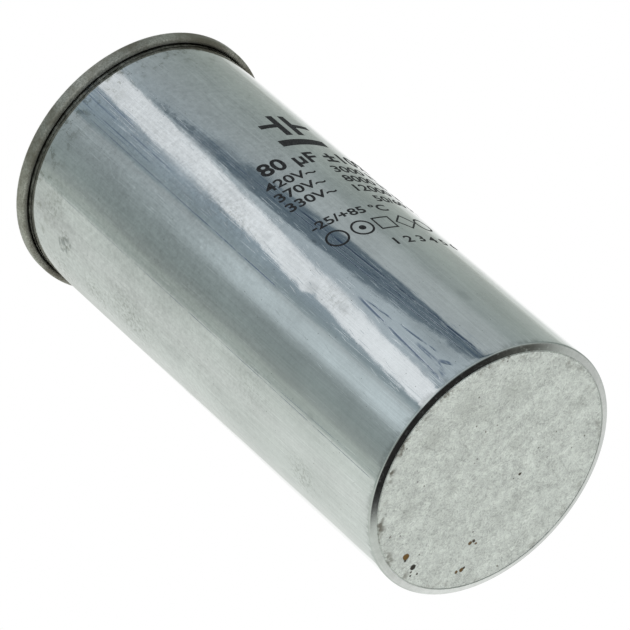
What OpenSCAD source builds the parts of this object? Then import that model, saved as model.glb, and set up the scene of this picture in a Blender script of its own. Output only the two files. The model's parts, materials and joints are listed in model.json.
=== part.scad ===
// Motor run capacitor in a round drawn can.
// The can stands on its closed end. The rolled rim and the terminals are at the top.
// Origin: centre of the base face. +Z runs along the can's axis towards the terminals.

/* [Can] */
// Outside diameter of the can
can_d = 60; // [54:1:80]
// Height from the base face to the top of the rolled rim
body_h = 130; // [100:1:170]
// Thickness of the can's side wall
can_t = 0.5; // [0.4:0.05:0.8]
// Thickness of the can's base
base_t = 1; // [0.8:0.1:1.6]
// Tight rounding between the side wall and the ring round the base
edge_r = 0.4; // [0.3:0.05:0.6]
// Width of the sloping ring round the flat base face
base_ring_w = 1.9; // [1.2:0.1:3]
// How far that ring rises from the base face to the wall
base_ring_rise = 0.35; // [0.2:0.05:0.5]
// Width of the fine groove between the base face and the ring
base_groove_w = 0.3; // [0.2:0.05:0.5]
// Depth of that groove
base_groove_depth = 0.15; // [0.1:0.05:0.3]

/* [Rolled rim] */
// Height of the rolled rim
rim_h = 3.2; // [2.9:0.1:4]
// Free gap between the layers of the rim
seam_gap = 0.1; // [0.06:0.01:0.14]
// Thickness of the sealing compound over the can's hook
compound_t = 0.2; // [0.1:0.05:0.3]
// Width of the mark that the seaming roll leaves in the wall under the rim
roll_mark_w = 0.8; // [0.7:0.1:1.2]
// Depth of that mark
roll_mark_depth = 0.08; // [0.04:0.02:0.14]
// Plain wall between the mark and the lower edge of the rim
roll_mark_drop = 0.1; // [0.05:0.05:0.3]
// Rounding inside the top corners of the rim
rim_bend_r = 0.5; // [0.3:0.05:0.6]

/* [Cover] */
// Thickness of the cover's tinplate
cover_t = 0.4; // [0.3:0.05:0.5]
// Depth of the cover's outer trough below the top of the rim
cover_depth = 6; // [5.5:0.1:9]
// How far the cover's middle stands above that trough
platform_h = 1; // [0.6:0.1:1.4]
// Width of the slope between the trough and the middle
platform_slope_w = 1.5; // [1:0.1:2]
// Rounding under the outer edge of the trough
trough_r = 1; // [0.8:0.1:1.5]

/* [Terminals] */
// Distance between the two terminals
terminal_pitch = 24; // [20:0.5:28]
// Diameter of the outer and inner insulators
insulator_d = 16; // [15:0.5:18]
// Height of the outer insulator above the cover
insulator_h = 3.5; // [3:0.1:6]
// Thickness of the inner insulator
inner_insulator_h = 2.2; // [1.6:0.1:3]
// Diameter of the outer insulator's spigot
spigot_d = 6.8; // [6:0.1:8]
// Outside diameter of the rubber seal
seal_d = 14; // [12:0.5:15]
// Thickness of the rubber seal
seal_t = 1.5; // [1:0.1:2]
// Room left between the outer insulator's spigot and the inner insulator
seal_room = 0.3; // [0.1:0.1:0.8]
// Diameter of the rivet's shank
rivet_d = 4; // [3.4:0.1:4.6]
// Diameter of the rivet's top head
rivet_head_d = 6; // [5.6:0.1:6.4]
// Height of both rivet heads
rivet_head_h = 0.8; // [0.5:0.1:1.2]
// Diameter of the washer under the inner insulator
washer_d = 9; // [8:0.5:11]
// Thickness of that washer
washer_t = 0.6; // [0.4:0.1:1]

/* [Tabs] */
// Width of each push-on tab
tab_w = 6.3; // [4.8:0.1:6.5]
// Thickness of the tab metal
tab_t = 0.8; // [0.5:0.1:1]
// Length of each tab above its bent foot
tab_l = 8; // [7:0.1:10]
// Clear space between the two tabs of one terminal
tab_space = 8.4; // [8:0.1:9]
// Inside radius of the bend at each tab's foot
tab_bend_r = 0.8; // [0.5:0.1:0.9]
// Diameter of the hole in each tab
tab_hole_d = 1.7; // [1.2:0.1:2]
// Distance from that hole to the tab's tip
tab_hole_drop = 3.4; // [2.8:0.1:4]
// Length of the taper at each tab's tip
tab_taper = 1; // [0.5:0.1:1.5]
// Depth of the pocket that keeps the tabs from turning
pocket_depth = 0.6; // [0.3:0.1:1]

/* [Winding] */
// Outside diameter of the core tube
core_d = 12; // [10:0.5:16]
// Wall of the core tube
core_t = 1.5; // [1:0.1:1.8]
// Thickness of the sprayed metal on each end of the winding
spray_t = 0.8; // [0.5:0.1:1.2]
// Thickness of the winding's outer wrap
wrap_t = 0.5; // [0.3:0.1:1]
// Thickness of the insulating liner inside the can
liner_t = 0.5; // [0.3:0.1:1]

/* [Holders] */
// Floor of the bottom holder
holder_floor = 3.4; // [3:0.1:5]
// Wall of the bottom and top holders
holder_wall = 0.8; // [0.6:0.1:1]
// How far the holders reach along the winding
holder_reach = 6; // [4:0.5:10]
// Floor of the top holder
spacer_floor = 1.5; // [1:0.1:2.5]
// Room for the leads between the top holder's floor and the interrupter plate
lead_room = 13; // [12.6:0.2:20]
// Thickness of the interrupter plate
plate_t = 1.6; // [1.2:0.1:2.4]
// Length of break pin left free between the plate and the rivet
pin_free = 3; // [2:0.1:5]
// Diameter of the break pins
pin_d = 2; // [1.8:0.1:2.2]
// Diameter of the thin neck where a break pin parts
pin_neck_d = 1; // [0.6:0.1:1.4]
// Diameter of the collar under the plate
pin_collar_d = 4; // [3.6:0.1:5]
// Height of that collar
pin_collar_h = 1; // [0.6:0.1:1.2]
// Length of break pin below the collar
pin_tail_l = 2.4; // [2:0.1:3]
// Depth of the hole in that tail for the lead
pin_cup_l = 1.8; // [1:0.1:1.9]
// Depth of the hole in each rivet for its break pin
rivet_bore_l = 3; // [2:0.1:5]
// Diameter of the oil holes in the interrupter plate
oil_hole_d = 5; // [3:0.5:7]
// Distance of the oil holes from the can's axis
oil_hole_r = 20; // [18:0.5:23]

/* [Leads] */
// Diameter of the lead's bare wire
wire_d = 1.2; // [0.8:0.1:1.3]
// Outside diameter of the lead's sleeve
sleeve_d = 2.2; // [1.9:0.1:2.4]
// Bend radius of the leads, at the middle of the wire
lead_bend_r = 2; // [1.8:0.1:2.4]
// Distance from the can's axis to the solder joint under the winding
joint_r = 12; // [10:0.5:14]
// How far back from the terminals the upper solder joint lies
joint_back = 8; // [7:0.5:10]
// Length of wire left bare at each end of a sleeve
sleeve_cut_back = 1; // [0.5:0.1:1.2]
// Straight length of sleeve below each break pin
sleeve_rise = 1.5; // [1:0.1:1.8]
// Width of free space on each side of a solder joint in a holder's floor
joint_room = 0.5; // [0.3:0.1:1]
// Radius of each solder joint
joint_size = 2.2; // [2:0.1:2.6]

/* [Clearances] */
// Clearance of pieces that drop into the can or the liner
drop_gap = 0.2; // [0.1:0.05:0.3]
// Clearance of pieces that fit round each other closely
fit_gap = 0.05; // [0.02:0.01:0.1]

/* [Hidden] */
$fn = 96;
// Sliver that a cut runs past the face it opens
cut = 0.1;

// Radii across the rim, from the inside out
can_r = can_d / 2;
can_in_r = can_r - can_t;
chuck_out_r = can_in_r - seam_gap;
chuck_in_r = chuck_out_r - cover_t;
cover_hook_in_r = can_r + seam_gap;
cover_hook_out_r = cover_hook_in_r + cover_t;
can_hook_in_r = cover_hook_out_r + seam_gap;
can_hook_out_r = can_hook_in_r + can_t;
rim_in_r = can_hook_out_r + seam_gap;
rim_r = rim_in_r + cover_t;
// Turns of the two hooks
can_turn_r = cover_t / 2 + seam_gap;
can_turn_x = (cover_hook_in_r + cover_hook_out_r) / 2;
cover_turn_r = can_t / 2 + seam_gap;
cover_turn_x = (can_hook_in_r + can_hook_out_r) / 2;
// Heights in the rim
rim_under_top = body_h - cover_t;
can_hook_top = rim_under_top - compound_t;
can_turn_z = can_hook_top - can_t - can_turn_r;
cover_turn_z = body_h - rim_h + cover_t + cover_turn_r;
roll_mark_top = body_h - rim_h - roll_mark_drop;
// Radius of the round bottom of the roll's mark
roll_mark_r = (pow(roll_mark_w / 2, 2) + pow(roll_mark_depth, 2)) / (2 * roll_mark_depth);

// Base
base_face_r = can_r - base_ring_w;
base_edge_z = base_ring_rise + edge_r;

// Cover
trough_z = body_h - cover_depth;
trough_bend_z = trough_z - cover_t + trough_r;
platform_z = trough_z + platform_h;
platform_r = terminal_pitch / 2 + insulator_d / 2 + 1;
cover_hole_d = spigot_d + 2 * fit_gap;

// Terminal stack, from the top of the platform down
pin_x = terminal_pitch / 2;
seat_z = platform_z + insulator_h - pocket_depth;
seal_top = platform_z - cover_t;
inner_top = seal_top - seal_t;
washer_top = inner_top - inner_insulator_h;
washer_bottom = washer_top - washer_t;
rivet_bottom = washer_bottom - rivet_head_h;
spigot_end = inner_top + seal_room;
rivet_bore_d = pin_d + 2 * fit_gap;
shank_hole_d = rivet_d + 2 * fit_gap;
tab_foot_l = tab_space + 2 * tab_t;
tab_top = seat_z + tab_t + tab_l;

// Interrupter plate and holders, from the rivets down
plate_top = rivet_bottom - pin_free;
plate_bottom = plate_top - plate_t;
spacer_floor_top = plate_bottom - lead_room;
winding_end_top = spacer_floor_top - spacer_floor;
floor_z = base_t;
winding_end_bottom = floor_z + holder_floor;
winding_bottom = winding_end_bottom + spray_t;
winding_top = winding_end_top - spray_t;

// Radii of what stands in the can
inner_corner_r = drop_gap;
liner_out_r = can_in_r - drop_gap;
liner_in_r = liner_out_r - liner_t;
holder_r = liner_in_r - drop_gap;
wrap_out_r = holder_r - holder_wall - drop_gap;
wrap_in_r = wrap_out_r - wrap_t;
winding_r = wrap_in_r - fit_gap;
core_r = core_d / 2;
core_in_r = core_r - core_t;
winding_in_r = core_r + fit_gap;

// Break pins
pin_top = rivet_bottom + rivet_bore_l - fit_gap;
pin_bottom = plate_bottom - pin_collar_h - pin_tail_l;
neck_bottom = plate_top + pin_free / 3;
neck_top = rivet_bottom - pin_free / 3;

// Leads
wire_hole_d = wire_d + 2 * fit_gap;
wire_end_z = pin_bottom + pin_cup_l - fit_gap;
sleeve_end_z = pin_bottom - sleeve_cut_back;
lead_level_z = sleeve_end_z - sleeve_rise - lead_bend_r;
low_lead_z = winding_end_bottom - sleeve_d / 2 - fit_gap;
joint_hole = joint_size + joint_room;

// ---- Helpers ----

// Flat ring section between two radii and two heights, drawn in the plane that is spun round Z
module band(r_in, r_out, z_low, z_high) {
    translate([r_in, z_low]) square([r_out - r_in, z_high - z_low]);
}

// Part of a bent sheet's section: the sheet's thickness between two radii, in the quarters given
module bend(r_in, t, right, up) {
    reach = r_in + t;
    intersection() {
        difference() {
            circle(r = reach);
            circle(r = r_in);
        }
        translate([right ? 0 : -reach, up ? 0 : -reach]) square(reach);
    }
}

// A ring or disc that stands in its real place
module ring(r_out, r_in, z_low, z_high) {
    translate([0, 0, z_low]) difference() {
        cylinder(r = r_out, h = z_high - z_low);
        if (r_in > 0)
            translate([0, 0, -cut]) cylinder(r = r_in, h = z_high - z_low + 2 * cut);
    }
}

// A straight piece of wire along +X, or of sleeve where it has an inner radius
module lead_straight(r, r_in, l) {
    rotate([0, 90, 0]) difference() {
        cylinder(r = r, h = l);
        if (r_in > 0) translate([0, 0, -cut]) cylinder(r = r_in, h = l + 2 * cut);
    }
}

// A quarter turn of the same, from the X axis to the Y axis
module lead_turn(r, r_in) {
    rotate_extrude(angle = 90) translate([lead_bend_r, 0]) difference() {
        circle(r = r);
        if (r_in > 0) circle(r = r_in);
    }
}

// A wire or sleeve that follows steps in the XZ plane, starting along +X.
// Each step is a length to go straight, or "up" or "level" for a quarter turn.
module run(steps, r, r_in, i = 0) {
    if (i < len(steps)) {
        step = steps[i];
        if (is_num(step)) {
            lead_straight(r, r_in, step);
            translate([step, 0, 0]) run(steps, r, r_in, i + 1);
        } else {
            side = step == "up" ? 1 : -1;
            translate([0, 0, side * lead_bend_r]) rotate([90, 0, 0])
                rotate([0, 0, side > 0 ? -90 : 0]) lead_turn(r, r_in);
            translate([lead_bend_r, 0, side * lead_bend_r]) rotate([0, -90 * side, 0])
                run(steps, r, r_in, i + 1);
        }
    }
}

// ---- Can, cover and what seals them ----

module can_hook_profile() {
    band(can_in_r, can_r, can_turn_z - cut, can_turn_z);
    translate([can_turn_x, can_turn_z]) {
        bend(can_turn_r, can_t, false, true);
        bend(can_turn_r, can_t, true, true);
    }
    band(can_hook_in_r, can_hook_out_r, cover_turn_z, can_turn_z);
}

module can() {
    ring_out_r = can_r - edge_r;
    color("silver") rotate_extrude() {
        difference() {
            union() {
                polygon([
                    [0, 0], [base_face_r, 0], [base_face_r, base_groove_depth],
                    [base_face_r + base_groove_w, base_groove_depth], [base_face_r + base_groove_w, 0],
                    [ring_out_r, base_ring_rise], [ring_out_r, base_edge_z],
                    [can_r, base_edge_z], [can_r, can_turn_z], [0, can_turn_z]
                ]);
                translate([ring_out_r, base_edge_z]) circle(r = edge_r);
            }
            band(-cut, can_in_r, base_t + inner_corner_r, can_turn_z + cut);
            band(-cut, can_in_r - inner_corner_r, base_t, base_t + 2 * inner_corner_r);
            translate([can_in_r - inner_corner_r, base_t + inner_corner_r])
                circle(r = inner_corner_r);
            translate([can_r - roll_mark_depth + roll_mark_r, roll_mark_top - roll_mark_w / 2])
                circle(r = roll_mark_r);
        }
        can_hook_profile();
    }
}

// The rolled part of the cover, from its inner wall over the top and under the can's hook
module cover_rim_profile() {
    bend_out_r = rim_bend_r + cover_t;
    band(chuck_in_r, chuck_out_r, trough_bend_z, rim_under_top - rim_bend_r);
    translate([chuck_out_r + rim_bend_r, rim_under_top - rim_bend_r])
        bend(rim_bend_r, cover_t, false, true);
    band(chuck_out_r + rim_bend_r, rim_in_r - rim_bend_r, rim_under_top, body_h);
    translate([rim_in_r - rim_bend_r, rim_under_top - rim_bend_r])
        bend(rim_bend_r, cover_t, true, true);
    band(rim_in_r, rim_r, cover_turn_z, rim_under_top - rim_bend_r);
    translate([cover_turn_x, cover_turn_z]) {
        bend(cover_turn_r, cover_t, true, false);
        bend(cover_turn_r, cover_t, false, false);
    }
    band(cover_hook_in_r, cover_hook_out_r, cover_turn_z, can_turn_z);
}

// The pressed middle of the cover: a raised platform inside a trough
module cover_panel_profile() {
    trough_in_r = platform_r + platform_slope_w;
    corner_x = chuck_out_r - trough_r;
    band(0, platform_r, platform_z - cover_t, platform_z);
    polygon([
        [platform_r, platform_z - cover_t], [trough_in_r, trough_z - cover_t],
        [trough_in_r, trough_z], [platform_r, platform_z]
    ]);
    band(trough_in_r, corner_x, trough_z - cover_t, trough_z);
    translate([corner_x, trough_bend_z]) bend(trough_r - cover_t, cover_t, true, false);
}

module cover() {
    color("darkgray") difference() {
        rotate_extrude() {
            cover_rim_profile();
            cover_panel_profile();
        }
        for (side = [-1, 1])
            translate([side * pin_x, 0, platform_z - cover_t - cut])
                cylinder(d = cover_hole_d, h = cover_t + 2 * cut);
    }
}

module seam_compound() {
    inner_x = chuck_out_r + rim_bend_r;
    outer_x = rim_in_r - rim_bend_r;
    color("dimgray") rotate_extrude() difference() {
        band(inner_x, outer_x, can_turn_z + can_turn_r, rim_under_top);
        translate([can_turn_x, can_turn_z]) circle(r = can_turn_r + can_t);
    }
}

module can_liner() {
    color("wheat") ring(liner_out_r, liner_in_r, floor_z, plate_top);
}

// ---- Winding and its holders ----

module bottom_holder() {
    slot_l = joint_r + joint_hole;
    color("ivory") difference() {
        ring(holder_r, 0, floor_z, winding_end_bottom + holder_reach);
        ring(holder_r - holder_wall, 0, winding_end_bottom, winding_end_bottom + holder_reach + cut);
        // Slot for the solder joint and the lead that runs from it to the core
        translate([-slot_l, -joint_hole, floor_z - cut])
            cube([slot_l, 2 * joint_hole, holder_floor + 2 * cut]);
        translate([0, 0, floor_z - cut]) cylinder(r = joint_hole, h = holder_floor + 2 * cut);
    }
}

module core_tube() {
    color("white") ring(core_r, core_in_r, winding_end_bottom, winding_end_top);
}

module winding() {
    color("gainsboro") ring(winding_r, winding_in_r, winding_bottom, winding_top);
}

module winding_wrap() {
    color("lightyellow") ring(wrap_out_r, wrap_in_r, winding_end_bottom, winding_end_top);
}

module bottom_spray() {
    color("slategray") ring(winding_r, winding_in_r, winding_end_bottom, winding_bottom);
}

module top_spray() {
    color("slategray") ring(winding_r, winding_in_r, winding_top, winding_end_top);
}

module top_holder() {
    wall_in_r = holder_r - holder_wall;
    color("ivory") difference() {
        ring(holder_r, 0, winding_end_top - holder_reach, plate_bottom);
        ring(wall_in_r, 0, winding_end_top - holder_reach - cut, winding_end_top);
        ring(wall_in_r, 0, spacer_floor_top, plate_bottom + cut);
        // Holes for the upper solder joint and for the lead that comes up through the core
        translate([-pin_x, joint_back, winding_end_top - cut])
            cylinder(r = joint_hole, h = spacer_floor + 2 * cut);
        translate([0, 0, winding_end_top - cut])
            cylinder(r = core_in_r, h = spacer_floor + 2 * cut);
    }
}

// ---- Interrupter plate, break pins and leads ----

module interrupter_plate() {
    color("saddlebrown") difference() {
        ring(holder_r, 0, plate_bottom, plate_top);
        for (side = [-1, 1]) {
            translate([side * pin_x, 0, plate_bottom - cut])
                cylinder(d = pin_d + 2 * fit_gap, h = plate_t + 2 * cut);
            translate([0, side * oil_hole_r, plate_bottom - cut])
                cylinder(d = oil_hole_d, h = plate_t + 2 * cut);
        }
    }
}

module break_pin(side) {
    color("goldenrod") translate([side * pin_x, 0, 0]) {
        difference() {
            ring(pin_d / 2, 0, pin_bottom, neck_bottom);
            translate([0, 0, pin_bottom - cut]) cylinder(d = wire_hole_d, h = pin_cup_l + cut);
        }
        ring(pin_collar_d / 2, pin_d / 2, plate_bottom - pin_collar_h, plate_bottom);
        ring(pin_neck_d / 2, 0, neck_bottom, neck_top);
        ring(pin_d / 2, 0, neck_top, pin_top);
    }
}

// Left lead: up from the top of the winding, forward, then up into the break pin
module left_lead(r, r_in, start_z, end_z) {
    translate([-pin_x, joint_back, start_z]) rotate([0, 0, -90]) rotate([0, -90, 0])
        run([
            lead_level_z - lead_bend_r - start_z, "level",
            joint_back - 2 * lead_bend_r, "up",
            end_z - lead_level_z - lead_bend_r
        ], r, r_in);
}

// Right lead: in under the winding, up through the core, then out to its pin
module right_lead(r, r_in, start_x, end_z) {
    translate([start_x, 0, low_lead_z])
        run([
            -start_x - lead_bend_r, "up",
            lead_level_z - low_lead_z - 2 * lead_bend_r, "level",
            pin_x - 2 * lead_bend_r, "up",
            end_z - lead_level_z - lead_bend_r
        ], r, r_in);
}

module left_lead_wire() {
    color("peru") left_lead(wire_d / 2, 0, winding_end_top, wire_end_z);
}

module right_lead_wire() {
    color("peru") right_lead(wire_d / 2, 0, -joint_r, wire_end_z);
}

module left_lead_sleeve() {
    start_z = winding_end_top + joint_size + sleeve_cut_back;
    color("firebrick") left_lead(sleeve_d / 2, wire_hole_d / 2, start_z, sleeve_end_z);
}

module right_lead_sleeve() {
    start_x = sleeve_cut_back + joint_size - joint_r;
    color("firebrick") right_lead(sleeve_d / 2, wire_hole_d / 2, start_x, sleeve_end_z);
}

// Half ball of solder on a sprayed end, flat face up or down
module solder_dome(points_up) {
    intersection() {
        sphere(r = joint_size);
        translate([0, 0, points_up ? joint_size : -joint_size]) cube(2 * joint_size, center = true);
    }
}

module bottom_solder_joint() {
    color("lightgray") difference() {
        translate([-joint_r, 0, winding_end_bottom]) solder_dome(false);
        translate([-joint_r - fit_gap, 0, low_lead_z]) rotate([0, 90, 0])
            cylinder(d = wire_hole_d, h = joint_size + cut);
    }
}

module top_solder_joint() {
    color("lightgray") translate([-pin_x, joint_back, winding_end_top]) difference() {
        solder_dome(true);
        translate([0, 0, -cut]) cylinder(d = wire_hole_d, h = joint_size + 2 * cut);
    }
}

// ---- Terminals ----

// U-shaped strip with two upright blades, riveted down by its foot
module tabs(side) {
    half = tab_space / 2;
    foot_in = half - tab_bend_r;
    blade_z = tab_t + tab_bend_r;
    color("lightsteelblue") translate([side * pin_x, 0, seat_z]) difference() {
        intersection() {
            rotate([90, 0, 0]) translate([0, 0, -tab_w / 2]) linear_extrude(tab_w) {
                translate([-foot_in, 0]) square([2 * foot_in, tab_t]);
                for (end = [-1, 1]) {
                    translate([end * foot_in, blade_z]) bend(tab_bend_r, tab_t, end > 0, false);
                    translate([end > 0 ? half : -half - tab_t, blade_z])
                        square([tab_t, tab_l - tab_bend_r]);
                }
            }
            blade_outline();
        }
        translate([0, 0, -cut]) cylinder(d = shank_hole_d, h = tab_t + 2 * cut);
        translate([-half - tab_t - cut, 0, tab_t + tab_l - tab_hole_drop]) rotate([0, 90, 0])
            cylinder(d = tab_hole_d, h = tab_foot_l + 2 * cut);
    }
}

// What the blades keep when they are seen face on: straight sides and a tapered tip
module blade_outline() {
    side_h = tab_t + tab_l - tab_taper;
    translate([-tab_foot_l, 0, 0]) rotate([90, 0, 90]) linear_extrude(2 * tab_foot_l)
        polygon([
            [-tab_w / 2, 0], [tab_w / 2, 0], [tab_w / 2, side_h],
            [tab_w / 2 - tab_taper, side_h + tab_taper],
            [-tab_w / 2 + tab_taper, side_h + tab_taper], [-tab_w / 2, side_h]
        ]);
}

module rivet(side) {
    head_r = rivet_head_d / 2;
    color("silver") translate([side * pin_x, 0, 0]) difference() {
        union() {
            ring(head_r, 0, seat_z + tab_t, seat_z + tab_t + rivet_head_h);
            ring(rivet_d / 2, 0, rivet_bottom, seat_z + tab_t + rivet_head_h);
            ring(head_r, 0, rivet_bottom, washer_bottom);
        }
        translate([0, 0, rivet_bottom - cut]) cylinder(d = rivet_bore_d, h = rivet_bore_l + cut);
    }
}

module outer_insulator(side) {
    color("black") translate([side * pin_x, 0, 0]) difference() {
        union() {
            ring(insulator_d / 2, 0, platform_z, platform_z + insulator_h);
            ring(spigot_d / 2, 0, spigot_end, platform_z);
        }
        translate([0, 0, spigot_end - cut])
            cylinder(d = shank_hole_d, h = seat_z - spigot_end + 2 * cut);
        translate([-tab_foot_l / 2 - fit_gap, -tab_w / 2 - fit_gap, seat_z])
            cube([tab_foot_l + 2 * fit_gap, tab_w + 2 * fit_gap, pocket_depth + cut]);
    }
}

module seal(side) {
    color("darkslategray") translate([side * pin_x, 0, 0])
        ring(seal_d / 2, spigot_d / 2 + fit_gap, inner_top, seal_top);
}

module inner_insulator(side) {
    color("black") translate([side * pin_x, 0, 0])
        ring(insulator_d / 2, shank_hole_d / 2, washer_top, inner_top);
}

module washer(side) {
    color("silver") translate([side * pin_x, 0, 0])
        ring(washer_d / 2, shank_hole_d / 2, washer_bottom, washer_top);
}

module left_tabs() tabs(-1);
module right_tabs() tabs(1);
module left_rivet() rivet(-1);
module right_rivet() rivet(1);
module left_outer_insulator() outer_insulator(-1);
module right_outer_insulator() outer_insulator(1);
module left_seal() seal(-1);
module right_seal() seal(1);
module left_inner_insulator() inner_insulator(-1);
module right_inner_insulator() inner_insulator(1);
module left_washer() washer(-1);
module right_washer() washer(1);
module left_break_pin() break_pin(-1);
module right_break_pin() break_pin(1);

can();
cover();
seam_compound();
can_liner();
bottom_holder();
core_tube();
winding();
winding_wrap();
bottom_spray();
top_spray();
top_holder();
interrupter_plate();
bottom_solder_joint();
top_solder_joint();
left_tabs();
right_tabs();
left_rivet();
right_rivet();
left_outer_insulator();
right_outer_insulator();
left_seal();
right_seal();
left_inner_insulator();
right_inner_insulator();
left_washer();
right_washer();
left_break_pin();
right_break_pin();
left_lead_wire();
right_lead_wire();
left_lead_sleeve();
right_lead_sleeve();
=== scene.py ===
# %% [markdown]
# # A motor run capacitor
#
# The construction model holds every solid of the capacitor at its real size. This lesson dresses it.
# The outside is a drawn aluminium can, a tinplate cover rolled over its edge, and four push-on blades.
# All of them are metal, and metal is mostly what it mirrors, so the studio round it is modelled with care.
#
# The construction model is loaded first.

# %% Load the construction model
import json
import math

import bmesh
import bpy
from mathutils import Matrix, Vector, noise


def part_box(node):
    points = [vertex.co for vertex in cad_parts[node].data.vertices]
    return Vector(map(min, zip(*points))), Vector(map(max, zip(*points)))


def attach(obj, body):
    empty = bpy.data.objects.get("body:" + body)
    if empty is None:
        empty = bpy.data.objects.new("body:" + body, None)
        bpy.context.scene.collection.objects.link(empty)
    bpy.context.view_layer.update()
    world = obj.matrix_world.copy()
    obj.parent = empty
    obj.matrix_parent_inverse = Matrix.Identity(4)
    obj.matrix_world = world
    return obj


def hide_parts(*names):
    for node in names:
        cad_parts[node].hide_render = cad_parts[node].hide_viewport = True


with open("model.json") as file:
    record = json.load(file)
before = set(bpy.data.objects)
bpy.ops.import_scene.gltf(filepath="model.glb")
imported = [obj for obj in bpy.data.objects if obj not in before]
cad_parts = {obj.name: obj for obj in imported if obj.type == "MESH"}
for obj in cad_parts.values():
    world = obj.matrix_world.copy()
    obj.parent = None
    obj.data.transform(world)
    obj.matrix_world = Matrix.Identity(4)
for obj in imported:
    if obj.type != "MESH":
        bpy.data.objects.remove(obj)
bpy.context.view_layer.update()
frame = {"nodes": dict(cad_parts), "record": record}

MM = 0.001
nodes = frame["nodes"]
print("construction nodes:", len(nodes))

# %% [markdown]
# ## Sizes
#
# The big sizes come from the loaded model: the can's radius from its clamp mount, the others from the boxes
# of its nodes. The thickness of a sheet can't be read there, so it repeats what the construction uses.
# They are kept in millimetres and only become metres when a mesh is made. Angles round the can are counted
# from the middle of the printed side, which faces -Y.

# %% Read the driving sizes
def reach(node, axis, side=1):
    """Where a node's box ends on an axis, in millimetres; side 0 is its near end and 1 its far end."""
    return round(getattr(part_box(node)[side], axis) / MM, 2)


mounts = {m["name"]: m for m in frame["record"]["mounts"]}
CAN_R = mounts["can_wall"]["dims"]["r_mm"]
HOOK_R = reach("can", "x")
HOOK_TOP = reach("can", "z")
RIM_R = reach("cover", "x")
RIM_TOP = reach("cover", "z")
COVER_FOOT = reach("cover", "z", 0)
TERMINAL_X = (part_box("right_rivet")[0].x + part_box("right_rivet")[1].x) / 2 / MM
WALL_T = 0.5             # the can's sheet
BASE_T = 1.0             # its base, which drawing leaves thicker
COVER_T = 0.4            # the cover's sheet
print("can radius %.1f, hook %.2f x %.2f, rim %.2f x %.2f, cover from %.2f up, terminals at %.2f mm"
      % (CAN_R, HOOK_R, HOOK_TOP, RIM_R, RIM_TOP, COVER_FOOT, TERMINAL_X))

# %% [markdown]
# ## The camera
#
# It looks at the closed end from below and to the left of the printed side, from about a metre away through
# a long lens, so the can hardly tapers. The three unit vectors say where the picture's right, its top and
# the line of sight point.

# %% Place the camera
CAMERA_PLACE = Vector((-691.3, -399.3, -611.0)) * MM
PICTURE_RIGHT = Vector((0.7494, -0.3313, -0.5732))
PICTURE_UP = Vector((0.0056, -0.8627, 0.5058))
LINE_OF_SIGHT = Vector((0.6621, 0.3823, 0.6447))

def placed(name, data):
    """A new object in the scene."""
    made = bpy.data.objects.new(name, data)
    bpy.context.scene.collection.objects.link(made)
    return made


camera_data = bpy.data.cameras.new("camera")
camera_data.lens = 284.0
camera_data.sensor_width = 36.0
camera_data.clip_start = 0.05
camera_data.clip_end = 20.0
camera = placed("camera", camera_data)
turn = Matrix((PICTURE_RIGHT, PICTURE_UP, -LINE_OF_SIGHT)).transposed()
camera.matrix_world = Matrix.Translation(CAMERA_PLACE) @ turn.to_4x4()
bpy.context.scene.camera = camera
print("camera distance %.3f m" % CAMERA_PLACE.length)

# %% [markdown]
# ## Small helpers for materials
#
# A material is a net of nodes. It could be drawn by hand in the editor, but written out its parts can be
# shared. One helper adds any node and fills its sockets, others add a sum or a blend of two colours, and one
# makes a soft step between two values, which is the tool for every mask.

# %% Helpers for node nets
def add(tree, kind, sockets=None, **settings):
    """A new node, with its settings and with its sockets filled by values or by links."""
    made = tree.nodes.new(kind)
    for name, value in settings.items():
        setattr(made, name, value)
    for key, value in (sockets or {}).items():
        if isinstance(value, bpy.types.NodeSocket):
            tree.links.new(value, made.inputs[key])
        else:
            made.inputs[key].default_value = value
    return made


def sums(tree, operation, *values):
    """The output of one Math node."""
    return add(tree, "ShaderNodeMath", dict(enumerate(values)), operation=operation).outputs[0]


def times(tree, first, second):
    """The product of two values."""
    return sums(tree, "MULTIPLY", first, second)


def vectors(tree, operation, *values):
    """The output of one Vector Math node: a number for a length, a distance or a dot product."""
    made = add(tree, "ShaderNodeVectorMath", dict(enumerate(values)), operation=operation)
    return made.outputs["Value" if operation in ("LENGTH", "DISTANCE", "DOT_PRODUCT") else "Vector"]


def soft_step(tree, value, low, high, to_low=0.0, to_high=1.0):
    """0 below low and 1 above high, with a smooth slope between them; the two ends can be other numbers.

    A smooth step never leaves its two ends, so the node's own clamp is off. It would add a node for each.
    """
    ends = {"Value": value, "From Min": low, "From Max": high, "To Min": to_low, "To Max": to_high}
    step = add(tree, "ShaderNodeMapRange", ends, interpolation_type="SMOOTHSTEP", clamp=False)
    return step.outputs["Result"]


def between(tree, value, low, high, soft):
    """1 between low and high, 0 outside, with edges as wide as soft."""
    rise = soft_step(tree, sums(tree, "SUBTRACT", value, low), -soft / 2, soft / 2)
    fall = soft_step(tree, sums(tree, "SUBTRACT", value, high), -soft / 2, soft / 2, 1.0, 0.0)
    return times(tree, rise, fall)


def mix(tree, amount, first, second):
    """A blend of two colours."""
    made = tree.nodes.new("ShaderNodeMix")
    made.data_type = "RGBA"
    for socket, value in ((made.inputs[0], amount), (made.inputs[6], first), (made.inputs[7], second)):
        if isinstance(value, bpy.types.NodeSocket):
            tree.links.new(value, socket)
        else:
            socket.default_value = value
    return made.outputs[2]


print("soft steps go from 0 to 1 unless told otherwise")

# %% [markdown]
# ## Textures in real millimetres
#
# Every pattern here is a noise that is fixed to its piece and measured in millimetres. An image would do too,
# but a noise has no seams and stays sharp close up. Grain and scratches are far thinner than a facet of the
# mesh, so they are bump: it tilts the surface for the light without moving it.

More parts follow.
